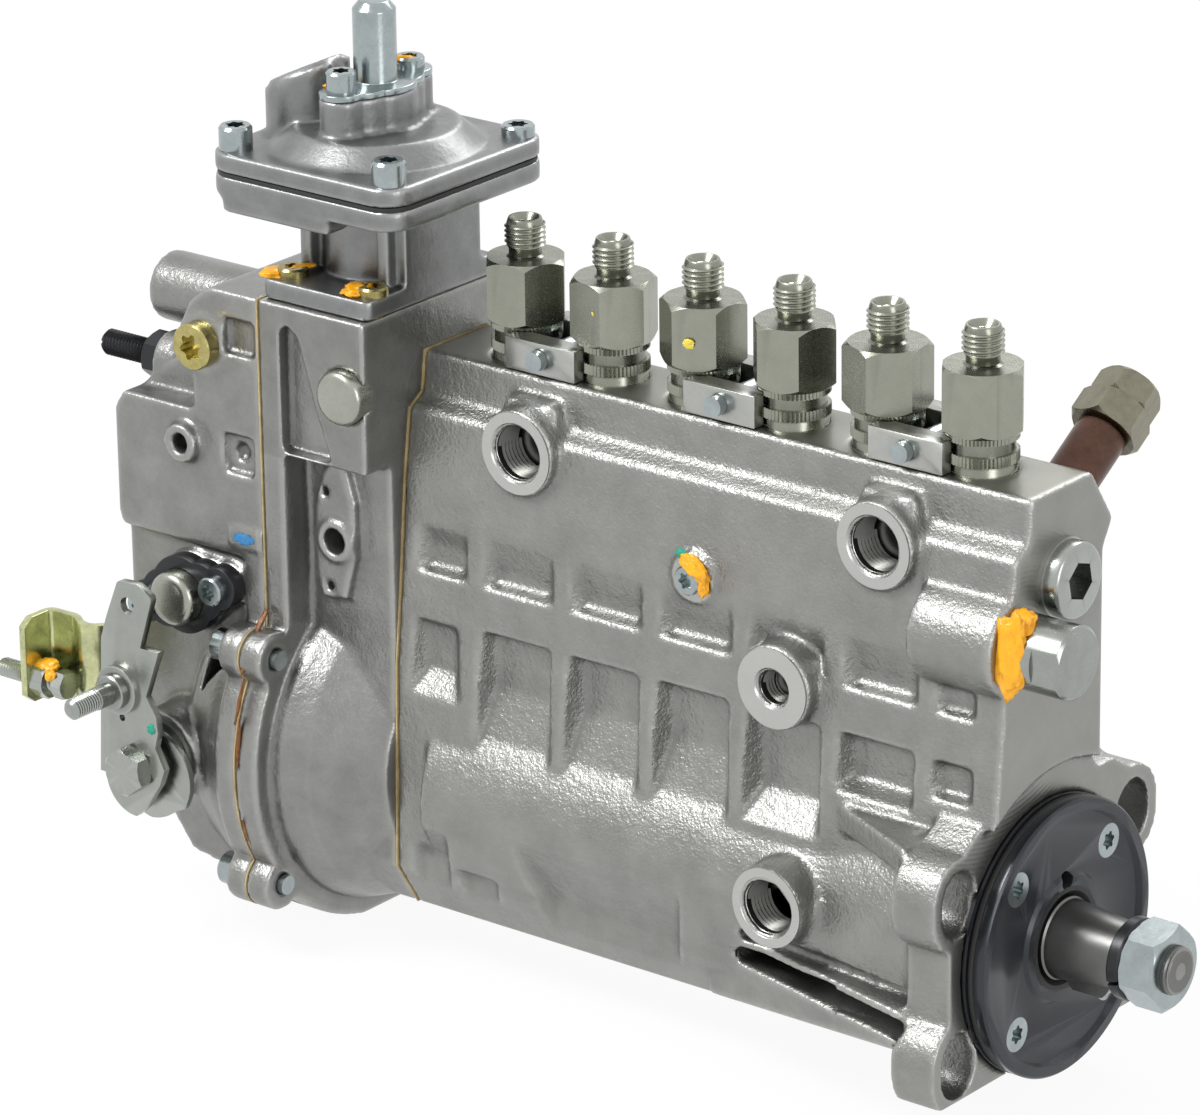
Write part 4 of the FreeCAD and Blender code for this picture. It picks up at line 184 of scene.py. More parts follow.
def make_world():
    """A sky that lights softly from above, and that the camera and the reflections see as white paper."""
    world = bpy.data.worlds.new("paper_studio")
    scene.world = world
    world.use_nodes = True
    tree = world.node_tree
    tree.nodes.clear()
    t = Tree(tree)
    way = t.add("ShaderNodeTexCoord").outputs["Generated"]
    height = t.add("ShaderNodeSeparateXYZ", Vector=way).outputs["Z"]
    sky = t.ramp(t.math("MULTIPLY_ADD", height, 0.5, 0.5), SKY_GREYS)
    lit = t.add("ShaderNodeBackground", Color=sky, Strength=SKY_STRENGTH)
    paper = t.add("ShaderNodeBackground", Color=WHITE, Strength=1.0)
    t.blend(t.seen_as_paper(), lit, paper, "ShaderNodeOutputWorld")


def area_lamp(name, place, target, size, watts):
    """A flat lamp at its place that faces the target."""
    data = bpy.data.lights.new(name, "AREA")
    data.shape = "RECTANGLE"
    data.size, data.size_y = size
    data.energy = watts
    lamp = bpy.data.objects.new(name, data)
    scene.collection.objects.link(lamp)
    way = (Vector(target) - Vector(place)).normalized()
    lamp.matrix_world = Matrix.Translation(place) @ way.to_track_quat("-Z", "Y").to_matrix().to_4x4()


def make_floor():
    """A sheet of white paper just below the pump's lowest point, on which its shadow still falls."""
    low = min(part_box(name)[0].z for name in nodes)
    bpy.ops.object.select_all(action="DESELECT")
    bpy.ops.mesh.primitive_plane_add(size=FLOOR_SIZE, location=(0, 0, low - FLOOR_DROP))
    floor = bpy.context.object
    floor.name = "paper_floor"
    material, tree = new_material("white_paper")
    t = Tree(tree)
    paper = t.add("ShaderNodeBsdfDiffuse", Color=PAPER_GREY)
    glow = t.add("ShaderNodeEmission", Color=WHITE, Strength=1.0)
    t.blend(t.math("MULTIPLY", t.seen_as_paper(), PAPER_GLOW), paper, glow, "ShaderNodeOutputMaterial")
    floor.data.materials.append(material)


# Each lamp's place, what it faces, its size in metres and its watts.
LAMPS = {
    "key_lamp": ((-0.75, -0.9, 1.35), (-0.15, 0, 0.06), (0.6, 0.6), 24),
    "side_lamp": ((1.2, -0.5, 0.5), (-0.1, 0, 0.06), (0.5, 0.9), 5),
    "rim_lamp": ((-0.3, 1.1, 1.1), (-0.15, 0, 0.06), (1.0, 0.5), 9),
}
scene.view_settings.view_transform = "Standard"
make_world()
make_floor()
for lamp_name, settings in LAMPS.items():
    area_lamp(lamp_name, *settings)
print("lamps:", len(LAMPS))

# %% [markdown]
# ## Finishes
# Bare metals differ in their tint, in how rough they are, and in the fine relief that their making left, and
# one function builds a finish from those. Raised edges get a painted highlight over their wear, and creases a
# painted shade over their dirt, both placed by the Pointiness of the surface. Machined faces get the rings of a
# turning tool.

# %% Build metal finishes
# How far creases darken with painted shade and dirt, and edges brighten with painted highlight and wear.
DIRT_SHADE_WEAR_SHEEN = (0.55, 0.6)
# How much brighter than the tint a painted highlight with wear makes an edge.
WEAR_AND_SHEEN_GAIN = 2.1
GRAIN = 0.9
GRAIN_SHARE = 0.22
WAVE_LENGTH = 0.314  # of Blender's wave texture at scale 1, in metres


def metal(name, tint, roughness, relief, mottle, mottle_size, metallic=1.0, dirt_shade_wear_sheen=(0.0, 0.0), rings=None):
    """A finish. relief holds (size, depth) noises in mm. mottle is how far the tint strays over mottle_size.
    The pair after metallic says how far creases darken, painted shade with some dirt, and how far edges
    brighten, a painted highlight with some wear. rings is (spacing, depth, centre, turn)."""
    material, tree = new_material(name)
    t = Tree(tree)
    place = t.add("ShaderNodeTexCoord").outputs["Object"]
    cloud = t.noise(place, mottle_size, 4, 0.6)
    grain = t.noise(place, GRAIN, 2, 0.7)
    dark = tuple(c * (1 - mottle) for c in tint)
    bright = tuple(min(1.0, c * (1 + mottle * 0.8)) for c in tint)
    colour = t.mix(t.ramp(cloud, [(0.32, 0.0), (0.68, 1.0)]), dark, bright)
    colour = t.mix(GRAIN_SHARE, colour, t.mix(t.ramp(grain, [(0.35, 0.0), (0.65, 1.0)]), dark, bright))
    # Creases get painted shade with some dirt, and raised edges a painted highlight with some wear, both from
    # Pointiness.
    crease_dirt_and_shade, edges = dirt_shade_wear_sheen
    if crease_dirt_and_shade or edges:
        pointed = t.add("ShaderNodeNewGeometry").outputs["Pointiness"]
        shade = t.ramp(pointed, [(0.44, 1 - crease_dirt_and_shade), (0.495, 1.0), (0.505, 1.0), (0.56, 1.0)])
        colour = t.mix(1.0, colour, shade, "MULTIPLY")
        edge_wear_and_sheen = t.ramp(pointed, [(0.505, 0.0), (0.57, edges)])
        colour = t.mix(edge_wear_and_sheen, colour, tuple(min(1.0, c * WEAR_AND_SHEEN_GAIN) for c in tint))
    rough = t.math("MULTIPLY_ADD", grain, 0.14, roughness - 0.07)
    shader = t.add("ShaderNodeBsdfPrincipled", Base_Color=colour, Metallic=metallic, Roughness=rough)
    heights = [(t.noise(place, size, 2, 0.6), depth) for size, depth in relief]
    if rings:
        spacing, depth, centre, turned_by = rings
        moved = t.add("ShaderNodeMapping", {"vector_type": "TEXTURE"}, Vector=place)
        moved.inputs["Location"].default_value = [c * MM for c in centre]
        moved.inputs["Rotation"].default_value = [math.radians(a) for a in turned_by]
        scale = WAVE_LENGTH / (spacing * MM)
        wave = t.add("ShaderNodeTexWave", {"wave_type": "RINGS"}, Vector=moved.outputs[0], Scale=scale)
        wave.inputs["Distortion"].default_value = 0.6
        wave.inputs["Detail"].default_value = 1.0
        heights.append((wave.outputs["Fac"], depth))
    normal = None
    for height, depth in heights:
        bump = t.add("ShaderNodeBump", Height=height, Distance=depth * MM, Strength=1.0)
        if normal is not None:
            tree.links.new(normal, bump.inputs["Normal"])
        normal = bump.outputs[0]
    if normal is not None:
        tree.links.new(normal, shader.inputs["Normal"])
    out = t.add("ShaderNodeOutputMaterial")
    tree.links.new(shader.outputs[0], out.inputs[0])
    return material


# The pair after metallic, where a recipe has one, sets painted shade in creases and a painted highlight on
# edges.
RECIPES = {
    "rough_cast": ((0.28, 0.28, 0.267), 0.38, [(2.4, 0.3), (0.8, 0.22)], 0.14, 14, 0.9, DIRT_SHADE_WEAR_SHEEN),
    "smooth_cast": ((0.265, 0.265, 0.255), 0.34, [(4.0, 0.24), (0.8, 0.13)], 0.17, 13, 0.9, DIRT_SHADE_WEAR_SHEEN),
    "die_cast": ((0.235, 0.24, 0.238), 0.36, [(3.0, 0.12), (0.6, 0.04)], 0.16, 9, 0.9, DIRT_SHADE_WEAR_SHEEN),
    "machined": ((0.4, 0.4, 0.385), 0.3, [(0.5, 0.01)], 0.06, 20, 0.95, (0.3, 0.2)),
    "ground_top": ((0.25, 0.25, 0.225), 0.34, [(0.5, 0.012)], 0.1, 16, 0.95, (0.3, 0.3)),
    "end_face": (
        (0.29, 0.29, 0.272), 0.38, [(0.6, 0.02)], 0.1, 18, 0.95, (0.2, 0.2),
        (1.4, 0.02, (4, -20.5, 92), (0, 0, 0)),
    ),
    "milled": (
        (0.25, 0.25, 0.24), 0.33, [(0.5, 0.02)], 0.14, 9, 0.95, (0.2, 0.2),
        (2.0, 0.05, (-150, -42, 150), (0, 0, 90)),
    ),
    # Dark painted shade for the inside of the bores and their threads.
    "bore_painted_shade": ((0.13, 0.13, 0.12), 0.4, [(0.5, 0.02)], 0.12, 9),
    "turned_steel": ((0.27, 0.265, 0.25), 0.32, [(0.5, 0.008)], 0.12, 9),
    "ground_taper": ((0.17, 0.17, 0.165), 0.36, [(0.4, 0.006)], 0.1, 7),
    "holder_steel": ((0.215, 0.22, 0.185), 0.27, [(1.6, 0.012)], 0.16, 6, 1.0, (0.3, 0.4)),
    "jaw_steel": ((0.37, 0.375, 0.355), 0.3, [(0.8, 0.012)], 0.08, 5, 1.0, (0.2, 0.2)),
    "grey_zinc": ((0.3, 0.315, 0.295), 0.25, [(1.6, 0.01)], 0.1, 6, 1.0, (0.2, 0.3)),
    "plug_zinc": ((0.37, 0.375, 0.33), 0.28, [(2.4, 0.015)], 0.1, 7),
    "black_steel": ((0.02, 0.021, 0.024), 0.32, [(0.8, 0.012)], 0.2, 20, 0.4),
    "black_disc": (
        (0.03, 0.032, 0.037), 0.22, [(0.8, 0.005)], 0.2, 20, 0.5, (0, 0.6),
        (1.1, 0.004, (0, 0, 0), (0, 0, 0)),
    ),
    "blue_zinc": ((0.36, 0.405, 0.41), 0.2, [(0.6, 0.008)], 0.14, 5),
    "yellow_zinc": ((0.46, 0.4, 0.16), 0.24, [(0.6, 0.008)], 0.25, 4),
    "brass_zinc": ((0.34, 0.29, 0.12), 0.26, [(0.6, 0.01)], 0.3, 3),
    "olive_zinc": ((0.52, 0.54, 0.3), 0.22, [(1.5, 0.006)], 0.35, 7),
    "lever_steel": ((0.31, 0.325, 0.3), 0.3, [(1.2, 0.012)], 0.1, 6, 1.0, (0.2, 0.3)),
    "brown_zinc": ((0.1, 0.05, 0.034), 0.33, [(0.7, 0.02)], 0.25, 4, 0.7),
    "umber_steel": ((0.17, 0.16, 0.12), 0.27, [(0.7, 0.012)], 0.3, 3, 1.0, (0.2, 0.4)),
    "black_rubber": ((0.018, 0.018, 0.018), 0.6, [(0.5, 0.02)], 0.1, 5, 0.0),
    "gasket_paper": ((0.42, 0.33, 0.17), 0.8, [(0.6, 0.03)], 0.35, 6, 0.0),
    "orange_paint": ((0.9, 0.4, 0.006), 0.34, [(1.6, 0.35)], 0.16, 3, 0.0),
    "yellow_paint": ((0.75, 0.6, 0.08), 0.4, [(0.8, 0.04)], 0.08, 2, 0.0),
    "blue_paint": ((0.03, 0.2, 0.45), 0.5, [(0.8, 0.05)], 0.3, 1.2, 0.0),
    "green_paint": ((0.01, 0.3, 0.2), 0.4, [(0.8, 0.03)], 0.15, 2, 0.0),
    "brown_sealant": ((0.2, 0.075, 0.015), 0.4, [(0.9, 0.2)], 0.4, 2, 0.0),
}
FINISHES = {name: metal(name, *recipe) for name, recipe in RECIPES.items()}

NODE_FINISH = {
    "rough_cast": ["pump_housing"],
    "smooth_cast": ["governor_housing", "governor_cover"],
    "die_cast": ["boost_housing", "boost_cover"],
    "holder_steel": ["valve_holders"],
    "jaw_steel": ["clamp_jaws"],
    "lever_steel": ["control_lever", "return_plate"],
    "black_disc": ["drive_end_cover"],
    "black_steel": ["shaft_retainer", "adjusting_screw", "spring_washer"],
    "ground_taper": ["camshaft"],
    "blue_zinc": [
        "cover_screws", "rack_cap", "rack_guide_screw", "shaft_nut", "clamp_screws", "core_plugs",
        "cover_bolts", "retainer_screws", "stop_screw", "pin_cap", "boost_screws", "lever_fasteners",
    ],
    "yellow_zinc": ["sealing_plug"],
    "olive_zinc": ["stop_bracket"],
    "brown_zinc": ["overflow_valve"],
    "black_rubber": ["drive_end_seals", "diaphragm"],
    "gasket_paper": ["governor_gaskets"],
}

for node in nodes.values():
    node.data.materials.clear()
    node.data.materials.append(FINISHES["turned_steel"])
for finish, names in NODE_FINISH.items():
    for name in names:
        nodes[name].data.materials[0] = FINISHES[finish]
print("finishes:", len(FINISHES))

# %% [markdown]
# ## Ways of making
# Operators act on whatever is selected, so small helpers select one piece alone, edit it, apply modifiers and
# lay it at its place. Everything is made upright at the origin first, where its radii match the drawing.

# %% Select, apply, place
WAYS = {
    "+X": Vector((1, 0, 0)), "-X": Vector((-1, 0, 0)), "+Y": Vector((0, 1, 0)), "-Y": Vector((0, -1, 0)),
    "+Z": Vector((0, 0, 1)), "-Z": Vector((0, 0, -1)),
}
ORIGIN = (0, 0, 0)


def solo(piece):
    """Only this piece is selected and active, so that operators touch nothing else."""
    bpy.ops.object.select_all(action="DESELECT")
    piece.select_set(True)
    bpy.context.view_layer.objects.active = piece


def edit(piece):
    """Opens the piece in edit mode with all of its vertices selected."""
    solo(piece)
    bpy.context.tool_settings.mesh_select_mode = (True, False, False)
    bpy.ops.object.mode_set(mode="EDIT")
    bpy.ops.mesh.select_all(action="SELECT")


def pick(piece, kind, test):
    """Opens the piece in edit mode with just those of its vertices or edges selected that pass the test."""
    solo(piece)
    mesh = piece.data
    for group in (mesh.vertices, mesh.edges, mesh.polygons):
        group.foreach_set("select", [False] * len(group))
    for index, item in enumerate(getattr(mesh, kind)):
        item.select = bool(test(index, item))
    bpy.context.tool_settings.mesh_select_mode = (kind == "vertices", kind == "edges", False)
    bpy.ops.object.mode_set(mode="EDIT")


def close_up(piece, angle=35):
    """Merges doubles, fills open ends, points the faces outwards and smooths across gentle angles."""
    bpy.ops.mesh.select_all(action="SELECT")
    bpy.ops.mesh.remove_doubles(threshold=0.004 * MM)
    bpy.ops.mesh.fill_holes(sides=0)
    bpy.ops.mesh.normals_make_consistent(inside=False)
    bpy.ops.object.mode_set(mode="OBJECT")
    bpy.ops.object.shade_smooth_by_angle(angle=math.radians(angle))
    return piece


def smooth(piece, angle):
    """Smooths the shading across all edges that are gentler than the angle."""
    solo(piece)
    bpy.ops.object.shade_smooth_by_angle(angle=math.radians(angle))
    return piece


def change(piece, kind, **settings):
    """Gives the piece a modifier with these settings and applies it."""
    made = piece.modifiers.new(kind.lower(), kind)
    for key, value in settings.items():
        setattr(made, key, value)
    solo(piece)
    bpy.ops.object.modifier_apply(modifier=made.name)
    return piece


def fix_place(piece):
    """Moves the piece's place, turn and scale into its mesh."""
    solo(piece)
    bpy.ops.object.transform_apply(location=True, rotation=True, scale=True)
    return piece


def seat(piece, place, facing="+Z", roll=0):
    """Lays a piece made upright at its place, its top facing that way, and fixes that in its mesh."""
    way = WAYS[facing] if isinstance(facing, str) else Vector(facing).normalized()
    turn = way.to_track_quat("Z", "Y").to_matrix().to_4x4()
    spin = Matrix.Rotation(math.radians(roll), 4, "Z")
    piece.matrix_world = Matrix.Translation(Vector(place) * MM) @ turn @ spin
    return fix_place(piece)


def lay(piece, place, angle, axis):
    """Turns a piece about one axis by an angle in radians and lays it at its place."""
    piece.matrix_world = Matrix.Translation(Vector(place) * MM) @ Matrix.Rotation(angle, 4, axis)
    return fix_place(piece)


def twin(piece):
    """A copy with a mesh of its own."""
    copy = piece.copy()
    copy.data = piece.data.copy()
    scene.collection.objects.link(copy)
    return copy


def joined(name, pieces):
    """Makes one piece of several."""
    pieces = list(pieces)
    bpy.ops.object.select_all(action="DESELECT")
    for piece in pieces:
        piece.select_set(True)
    bpy.context.view_layer.objects.active = pieces[0]
    if len(pieces) > 1:
        bpy.ops.object.join()
    pieces[0].name = name
    return pieces[0]


def coat(piece, finish):
    """Gives the whole piece one finish."""
    piece.data.materials.clear()
    piece.data.materials.append(FINISHES[finish])
    return piece


def fit(piece, body="pump", stands_for=()):
    """The piece rides on its body, and stands for the nodes whose shape it shows in finer form."""
    if stands_for:
        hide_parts(*stands_for)
    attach(piece, body)
    print(piece.name, len(piece.data.polygons), "faces on", body)
    return piece


# %% [markdown]
# ## Turning, threading, knurling, punching
# Most fittings are turned, so one helper grows a ring of vertices through an outline's radii and heights.
# Others wind a thread with the Screw modifier, knurl a ring by pulling in every second vertex, and punch a
# recess with a Boolean.

# %% Turn, thread, knurl, punch


def turned(name, outline, sides=48, angle=35):
    """A turned piece: one ring, extruded and sized through (radius, height) points."""
    points = [(max(radius, 0.001) * MM, height * MM) for radius, height in outline]
    radius, height = points[0]
    bpy.ops.object.select_all(action="DESELECT")
    bpy.ops.mesh.primitive_circle_add(vertices=sides, radius=radius, location=(0, 0, height))
    piece = bpy.context.object
    piece.name = name
    fix_place(piece)
    edit(piece)
    for next_radius, next_height in points[1:]:
        bpy.ops.mesh.extrude_region_move(TRANSFORM_OT_translate={"value": (0, 0, next_height - height)})
        wider = next_radius / radius
        bpy.ops.transform.resize(value=(wider, wider, 1), center_override=ORIGIN)
        radius, height = next_radius, next_height
    return close_up(piece, angle)


def prism(name, flats, low, high):
    """A hexagonal bar with a corner on the Y axis."""
    bpy.ops.object.select_all(action="DESELECT")
    middle = (low + high) / 2 * MM
    bpy.ops.mesh.primitive_cylinder_add(
        vertices=6, radius=flats / math.sqrt(3) * MM, depth=(high - low) * MM, location=(0, 0, middle)
    )
    piece = bpy.context.object
    piece.name = name
    return fix_place(piece)


def block(name, low, high, soft=0.0):
    """A box between two corners with bevelled edges."""
    bpy.ops.object.select_all(action="DESELECT")
    middle = [(a + b) / 2 * MM for a, b in zip(low, high)]
    bpy.ops.mesh.primitive_cube_add(size=1, location=middle)
    piece = bpy.context.object
    piece.name = name
    piece.scale = [(b - a) * MM for a, b in zip(low, high)]
    fix_place(piece)
    if soft:
        edit(piece)
        bpy.ops.mesh.bevel(offset=soft * MM, segments=3)
        bpy.ops.object.mode_set(mode="OBJECT")
    return piece


def cut_with(piece, tool, operation="DIFFERENCE", solver="EXACT"):
    """Cuts the tool from the piece, or keeps what they share, and throws the tool away."""
    change(piece, "BOOLEAN", operation=operation, solver=solver, object=tool)
    bpy.data.objects.remove(tool)
    return piece


def hex_head(name, flats, low, high, chamfer=1.1):
    """A hexagon whose corners the lathe has taken off at both ends."""
    corner = flats / math.sqrt(3) + 0.05
    edge = flats / 2 + 0.1
    shape = turned(
        "turned_corners",
        [(0, low), (edge, low), (corner, low + chamfer), (corner, high - chamfer), (edge, high), (0, high)],
    )
    return smooth(cut_with(prism(name, flats, low, high), shape, "INTERSECT"), 25)


def thread(name, radius, depth, pitch, length, inwards=False):
    """The ridge of a screw thread on the Z axis from height 0: a triangle wound up, and trimmed on a bolt."""
    reach = (-depth if inwards else depth) / 1.5
    crest = radius - depth if inwards else radius
    bpy.ops.object.select_all(action="DESELECT")
    bpy.ops.mesh.primitive_circle_add(vertices=3, radius=1)
    ridge = bpy.context.object
    ridge.name = name
    upright = Matrix.Rotation(math.radians(-120), 4, Vector((1, 1, 1)))
    size = Matrix.Diagonal((pitch * 0.55 * MM, reach * MM, 1, 1))
    ridge.matrix_world = Matrix.Translation(((crest - reach) * MM, 0, -pitch * MM)) @ upright @ size
    fix_place(ridge)
    turns = int(length / pitch) + (0 if inwards else 3)
    change(ridge, "SCREW", axis="Z", screw_offset=pitch * MM, iterations=turns, steps=20, render_steps=20)
    edit(ridge)
    if inwards:
        return close_up(ridge, 30)
    bpy.ops.mesh.bisect(plane_co=ORIGIN, plane_no=(0, 0, 1), use_fill=True, clear_inner=True)
    bpy.ops.mesh.select_all(action="SELECT")
    bpy.ops.mesh.bisect(plane_co=(0, 0, length * MM), plane_no=(0, 0, 1), use_fill=True, clear_outer=True)
    return close_up(ridge, 30)


def knurled(name, radius, depth, low, high, teeth=48):
    """A ring whose every second vertex is pulled in before it is extruded."""
    bpy.ops.object.select_all(action="DESELECT")
    bpy.ops.mesh.primitive_circle_add(vertices=2 * teeth, radius=radius * MM, location=(0, 0, low * MM))
    piece = bpy.context.object
    piece.name = name
    fix_place(piece)
    pick(piece, "vertices", lambda index, vertex: index % 2 == 0)
    inner = (radius - depth) / radius
    bpy.ops.transform.resize(value=(inner, inner, 1), center_override=ORIGIN)
    bpy.ops.mesh.select_all(action="SELECT")
    bpy.ops.mesh.extrude_region_move(TRANSFORM_OT_translate={"value": (0, 0, (high - low) * MM)})
    return close_up(piece, 20)


def star_punch(radius, top, depth):
    """The six-lobed punch of a star recess, reaching down from a head's top."""
    bpy.ops.object.select_all(action="DESELECT")
    bpy.ops.mesh.primitive_circle_add(vertices=24, radius=radius * MM, location=(0, 0, (top + 0.5) * MM))
    piece = bpy.context.object
    piece.name = "star_punch"
    fix_place(piece)
    pick(piece, "vertices", lambda index, vertex: index % 4 in (0, 1))
    bpy.ops.transform.resize(value=(0.76, 0.76, 1), center_override=ORIGIN)
    bpy.ops.mesh.select_all(action="SELECT")
    bpy.ops.mesh.extrude_region_move(TRANSFORM_OT_translate={"value": (0, 0, -(depth + 0.5) * MM)})
    return close_up(piece)


print("helpers ready")

# %% [markdown]
# ## Castings
# A casting has no sharp edges: sand and draft round them off. The frame's casting is copied, its loose
# triangles are merged, small bosses are joined to it, and a voxel remesh lays an even net over it all. Slots
# and hollows are cut from that and netted again, and a smoothing pass wears the edges round. Bevels alone would
# fail at the many places where ribs and walls cross.

# %% Round the castings
VOXEL = 0.9
MOST_TRIANGLES = 190000


def merged_copy(node, name):
    """A copy of a frame node as a piece of its own, with its loose faces joined."""
    piece = twin(nodes[node])
    piece.parent = None
    for key in [k for k in piece.keys() if k.startswith("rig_")]:
        del piece[key]
    piece.name = name
    edit(piece)
    bpy.ops.mesh.remove_doubles(threshold=0.002 * MM)
    bpy.ops.object.mode_set(mode="OBJECT")
    return piece


def even_net(piece):
    """Lays an even net of quads over the whole shape."""
    change(piece, "REMESH", mode="VOXEL", voxel_size=VOXEL * MM)


def melt(piece, low, high, repeat):
    """Smooths the vertices between two corners over and over, which melts a step into a fillet."""

    def inside(index, vertex):
        return all(a * MM < v < b * MM for a, v, b in zip(low, vertex.co, high))

    pick(piece, "vertices", inside)
    bpy.ops.mesh.vertices_smooth(factor=0.5, repeat=repeat)
    bpy.ops.object.mode_set(mode="OBJECT")


def cast_skin(node, added=(), removed=(), passes=5, melted=()):
    """The casting of a frame node, with pieces added, tools cut from it and its edges worn round."""
    piece = merged_copy(node, node + "_casting")
    if added:
        piece = joined(piece.name, [piece, *added])
    even_net(piece)
    for tool in removed:
        cut_with(piece, tool, solver="MANIFOLD")
    if removed:
        even_net(piece)
    change(piece, "SMOOTH", factor=0.5, iterations=passes)
    for low, high, repeat in melted:
        melt(piece, low, high, repeat)
    triangles = 2 * len(piece.data.polygons)
    if triangles > MOST_TRIANGLES:
        change(piece, "DECIMATE", ratio=MOST_TRIANGLES / triangles)
    solo(piece)
    bpy.ops.object.shade_smooth()
    return fit(piece, "pump", [node])


def tube(name, inner, outer, low, high, sides=40):
    """A ring of rectangular section."""
    return turned(name, [(inner, low), (outer, low), (outer, high), (inner, high), (inner, low)], sides)


# %% [markdown]
# ## The pump housing
# Low on its front a keel slants forwards to the flange, with two long slots in it. It is filled to one block,
# its underside is trimmed, and the slots are cut with slanting boxes. The step above it is melted into the
# wide fillet that a founder gives such a corner.

# %% Round the pump housing
KEEL_SLANT = 0.2407
UPPER_SLOT = (-10.6, -6.6)
LOWER_SLOT = (-19.2, -13.2)


def keel_block(name, start, slant, length, thick, low, high):
    """A box whose front starts at (x, y) and runs slanting towards the flange."""
    piece = block(name, (0, 0, 0), (length, thick, high - low))
    return lay(piece, (*start, low), -math.atan(slant), "Z")


keel_fill = keel_block("keel_fill", (-88, -31.6), KEEL_SLANT, 64, 12, -28.6, -21.6)
under_cut = block("under_cut", (-99, -70, -30), (-15.4, 0, 0))
lay(under_cut, (0, -24, -36.6), math.radians(-30.6), "X")
upper_slot = keel_block("upper_slot", (-80, -38), 0.1, 64.5, 5, *UPPER_SLOT)
upper_mouth = keel_block("upper_mouth", (-66, -52), 0.0, 50.6, 14, *UPPER_SLOT)
lower_slot = keel_block("lower_slot", (-84, -33.4), KEEL_SLANT, 70, 12, *LOWER_SLOT)
lower_mouth = keel_block("lower_mouth", (-84, -45), KEEL_SLANT, 70, 14, *LOWER_SLOT)
pump_casting = cast_skin(
    "pump_housing",
    [keel_fill],
    [under_cut, upper_slot, upper_mouth, lower_slot, lower_mouth],
    melted=[((-62, -60, -5), (-14, -30, 10), 30)],
)

# %% [markdown]
# ## The governor's castings
# Rings, a pad and the pivot's bump are joined to the castings and two hollows are cut from the cover, and the
# smoothing rounds them like the rest. Two plates close the cover's rear wall.

# %% Round the governor's castings
LEFT_PLUG = (-277.4, 51.3)

lug_ring = seat(tube("lug_ring", 4, 6.2, 0, 3.5), (-227.2, -33, 75.8), "-Y")
governor_casting = cast_skin("governor_housing", [lug_ring])

pivot_bump = turned("pivot_bump", [(0, 0), (3.5, 0.6), (6, 3), (6, 11), (4, 13.6), (0, 14.4)], 24)
seat(pivot_bump, (-282.5, -40.2, 10.2), "+X")
dot_pad = block("dot_pad", (-262, -43.2, 69), (-249.2, -40, 76), 0.8)
bolt_ring = seat(tube("bolt_ring", 3, 4.8, 0, 3.2), (-258.2, -39, 97.6), "-Y")
upper_hollow = block("upper_hollow", (-262, -46, 128), (-250.4, -39, 139))
ring_hollow = block("ring_hollow", (-263.5, -46, 91.5), (-252, -39.4, 103.5))


def rear_plate(name, top, bottom):
    """A wall plate between two (x, z) corners of the cover's tapering rear face."""
    run = Vector((bottom[0] - top[0], 0, bottom[1] - top[1]))
    piece = block(name, (0, -36.8, -run.length - 1), (3.6, -3, 1))
    return lay(piece, (top[0], 0, top[1]), -math.asin(run.x / run.length), "Y")


rear_wall = [
    rear_plate("rear_plate_high", (-302.2, 4), (-297.2, -13)),
    rear_plate("rear_plate_low", (-297.2, -13), (-290.2, -26)),
]
cover_casting = cast_skin(
    "governor_cover", [pivot_bump, dot_pad, bolt_ring, *rear_wall], [upper_hollow, ring_hollow]
)

# %% [markdown]
# ## The boost unit's castings
# The lower one gets the raised lip of its flange, and the dome the turned rim of its slanting air port.

# %% Round the boost unit's castings
flange_lip = block("flange_lip", (-257, -46.4, 172.8), (-217, -36, 178.5), 1.2)
boost_casting = cast_skin("boost_housing", [flange_lip])
MOUTH = Vector((-249.9, -15.5, 208.5))
MOUTH_WAY = Vector((-0.4384, 0, 0.8988))
mouth_ring = seat(tube("mouth_ring", 8.2, 11.2, -3, 1.4, 48), MOUTH, MOUTH_WAY)
boost_dome = cast_skin("boost_cover", [mouth_ring], passes=3)

# %% [markdown]
# ## Machined faces
# A cutter has gone over the faces that seal: the top, the end, the ports and the seats of the plugs. They are
# smoother than the cast skin and show the cutter's path. Picked by place and normal, they get a second slot.

# %% Give machined faces their finish


def finish_faces(piece, finish, test):
    """Gives a finish to the faces whose centre in millimetres and normal pass the test."""
    piece.data.materials.append(FINISHES[finish])
    index = len(piece.data.materials) - 1
    count = 0
    for face in piece.data.polygons:
        centre = face.center / MM
        if test(centre, face.normal):
            face.material_index = index
            count += 1
    print(piece.name, finish, count, "faces")


def near(centre, x, z, reach):
    """Whether a face lies within reach of the point (x, z), seen from the front."""
    return math.hypot(centre.x - x, centre.z - z) < reach


def on_boss(centre, normal):
    return normal.y < -0.94 and any(near(centre, x, z, reach) for x, z, reach in BOSSES)


def in_bore(centre, normal):
    for (x, mouth, z), radius, *rest in PORTS.values():
        if near(centre, x, z, radius + 0.2) and mouth + 0.6 < centre.y < 0:
            return True
    return False


# Each port's mouth and radius, the radii of its ring and spot face, and its thread's length and pitch.
PORTS = {
    "front_fuel_port": ((-39.7, -27.5, 113.6), 8, 12.2, 12.7, 9, 1.5),
    "rear_fuel_port": ((-165.3, -27.5, 113.6), 8, 12.2, 12.7, 9, 1.5),
    "oil_port": ((-63.6, -45, 6.4), 8, 11.7, 12, 9, 1.5),
    "lug_port": ((-69.6, -34, 67), 5, 11.8, 12.4, 8, 1.25),
}
GUIDE_SCREW = (-102.6, 90)
BOSSES = [(x, z, reach) for (x, mouth, z), radius, ring, reach, *rest in PORTS.values()]
BOSSES.append((*GUIDE_SCREW, 7.4))

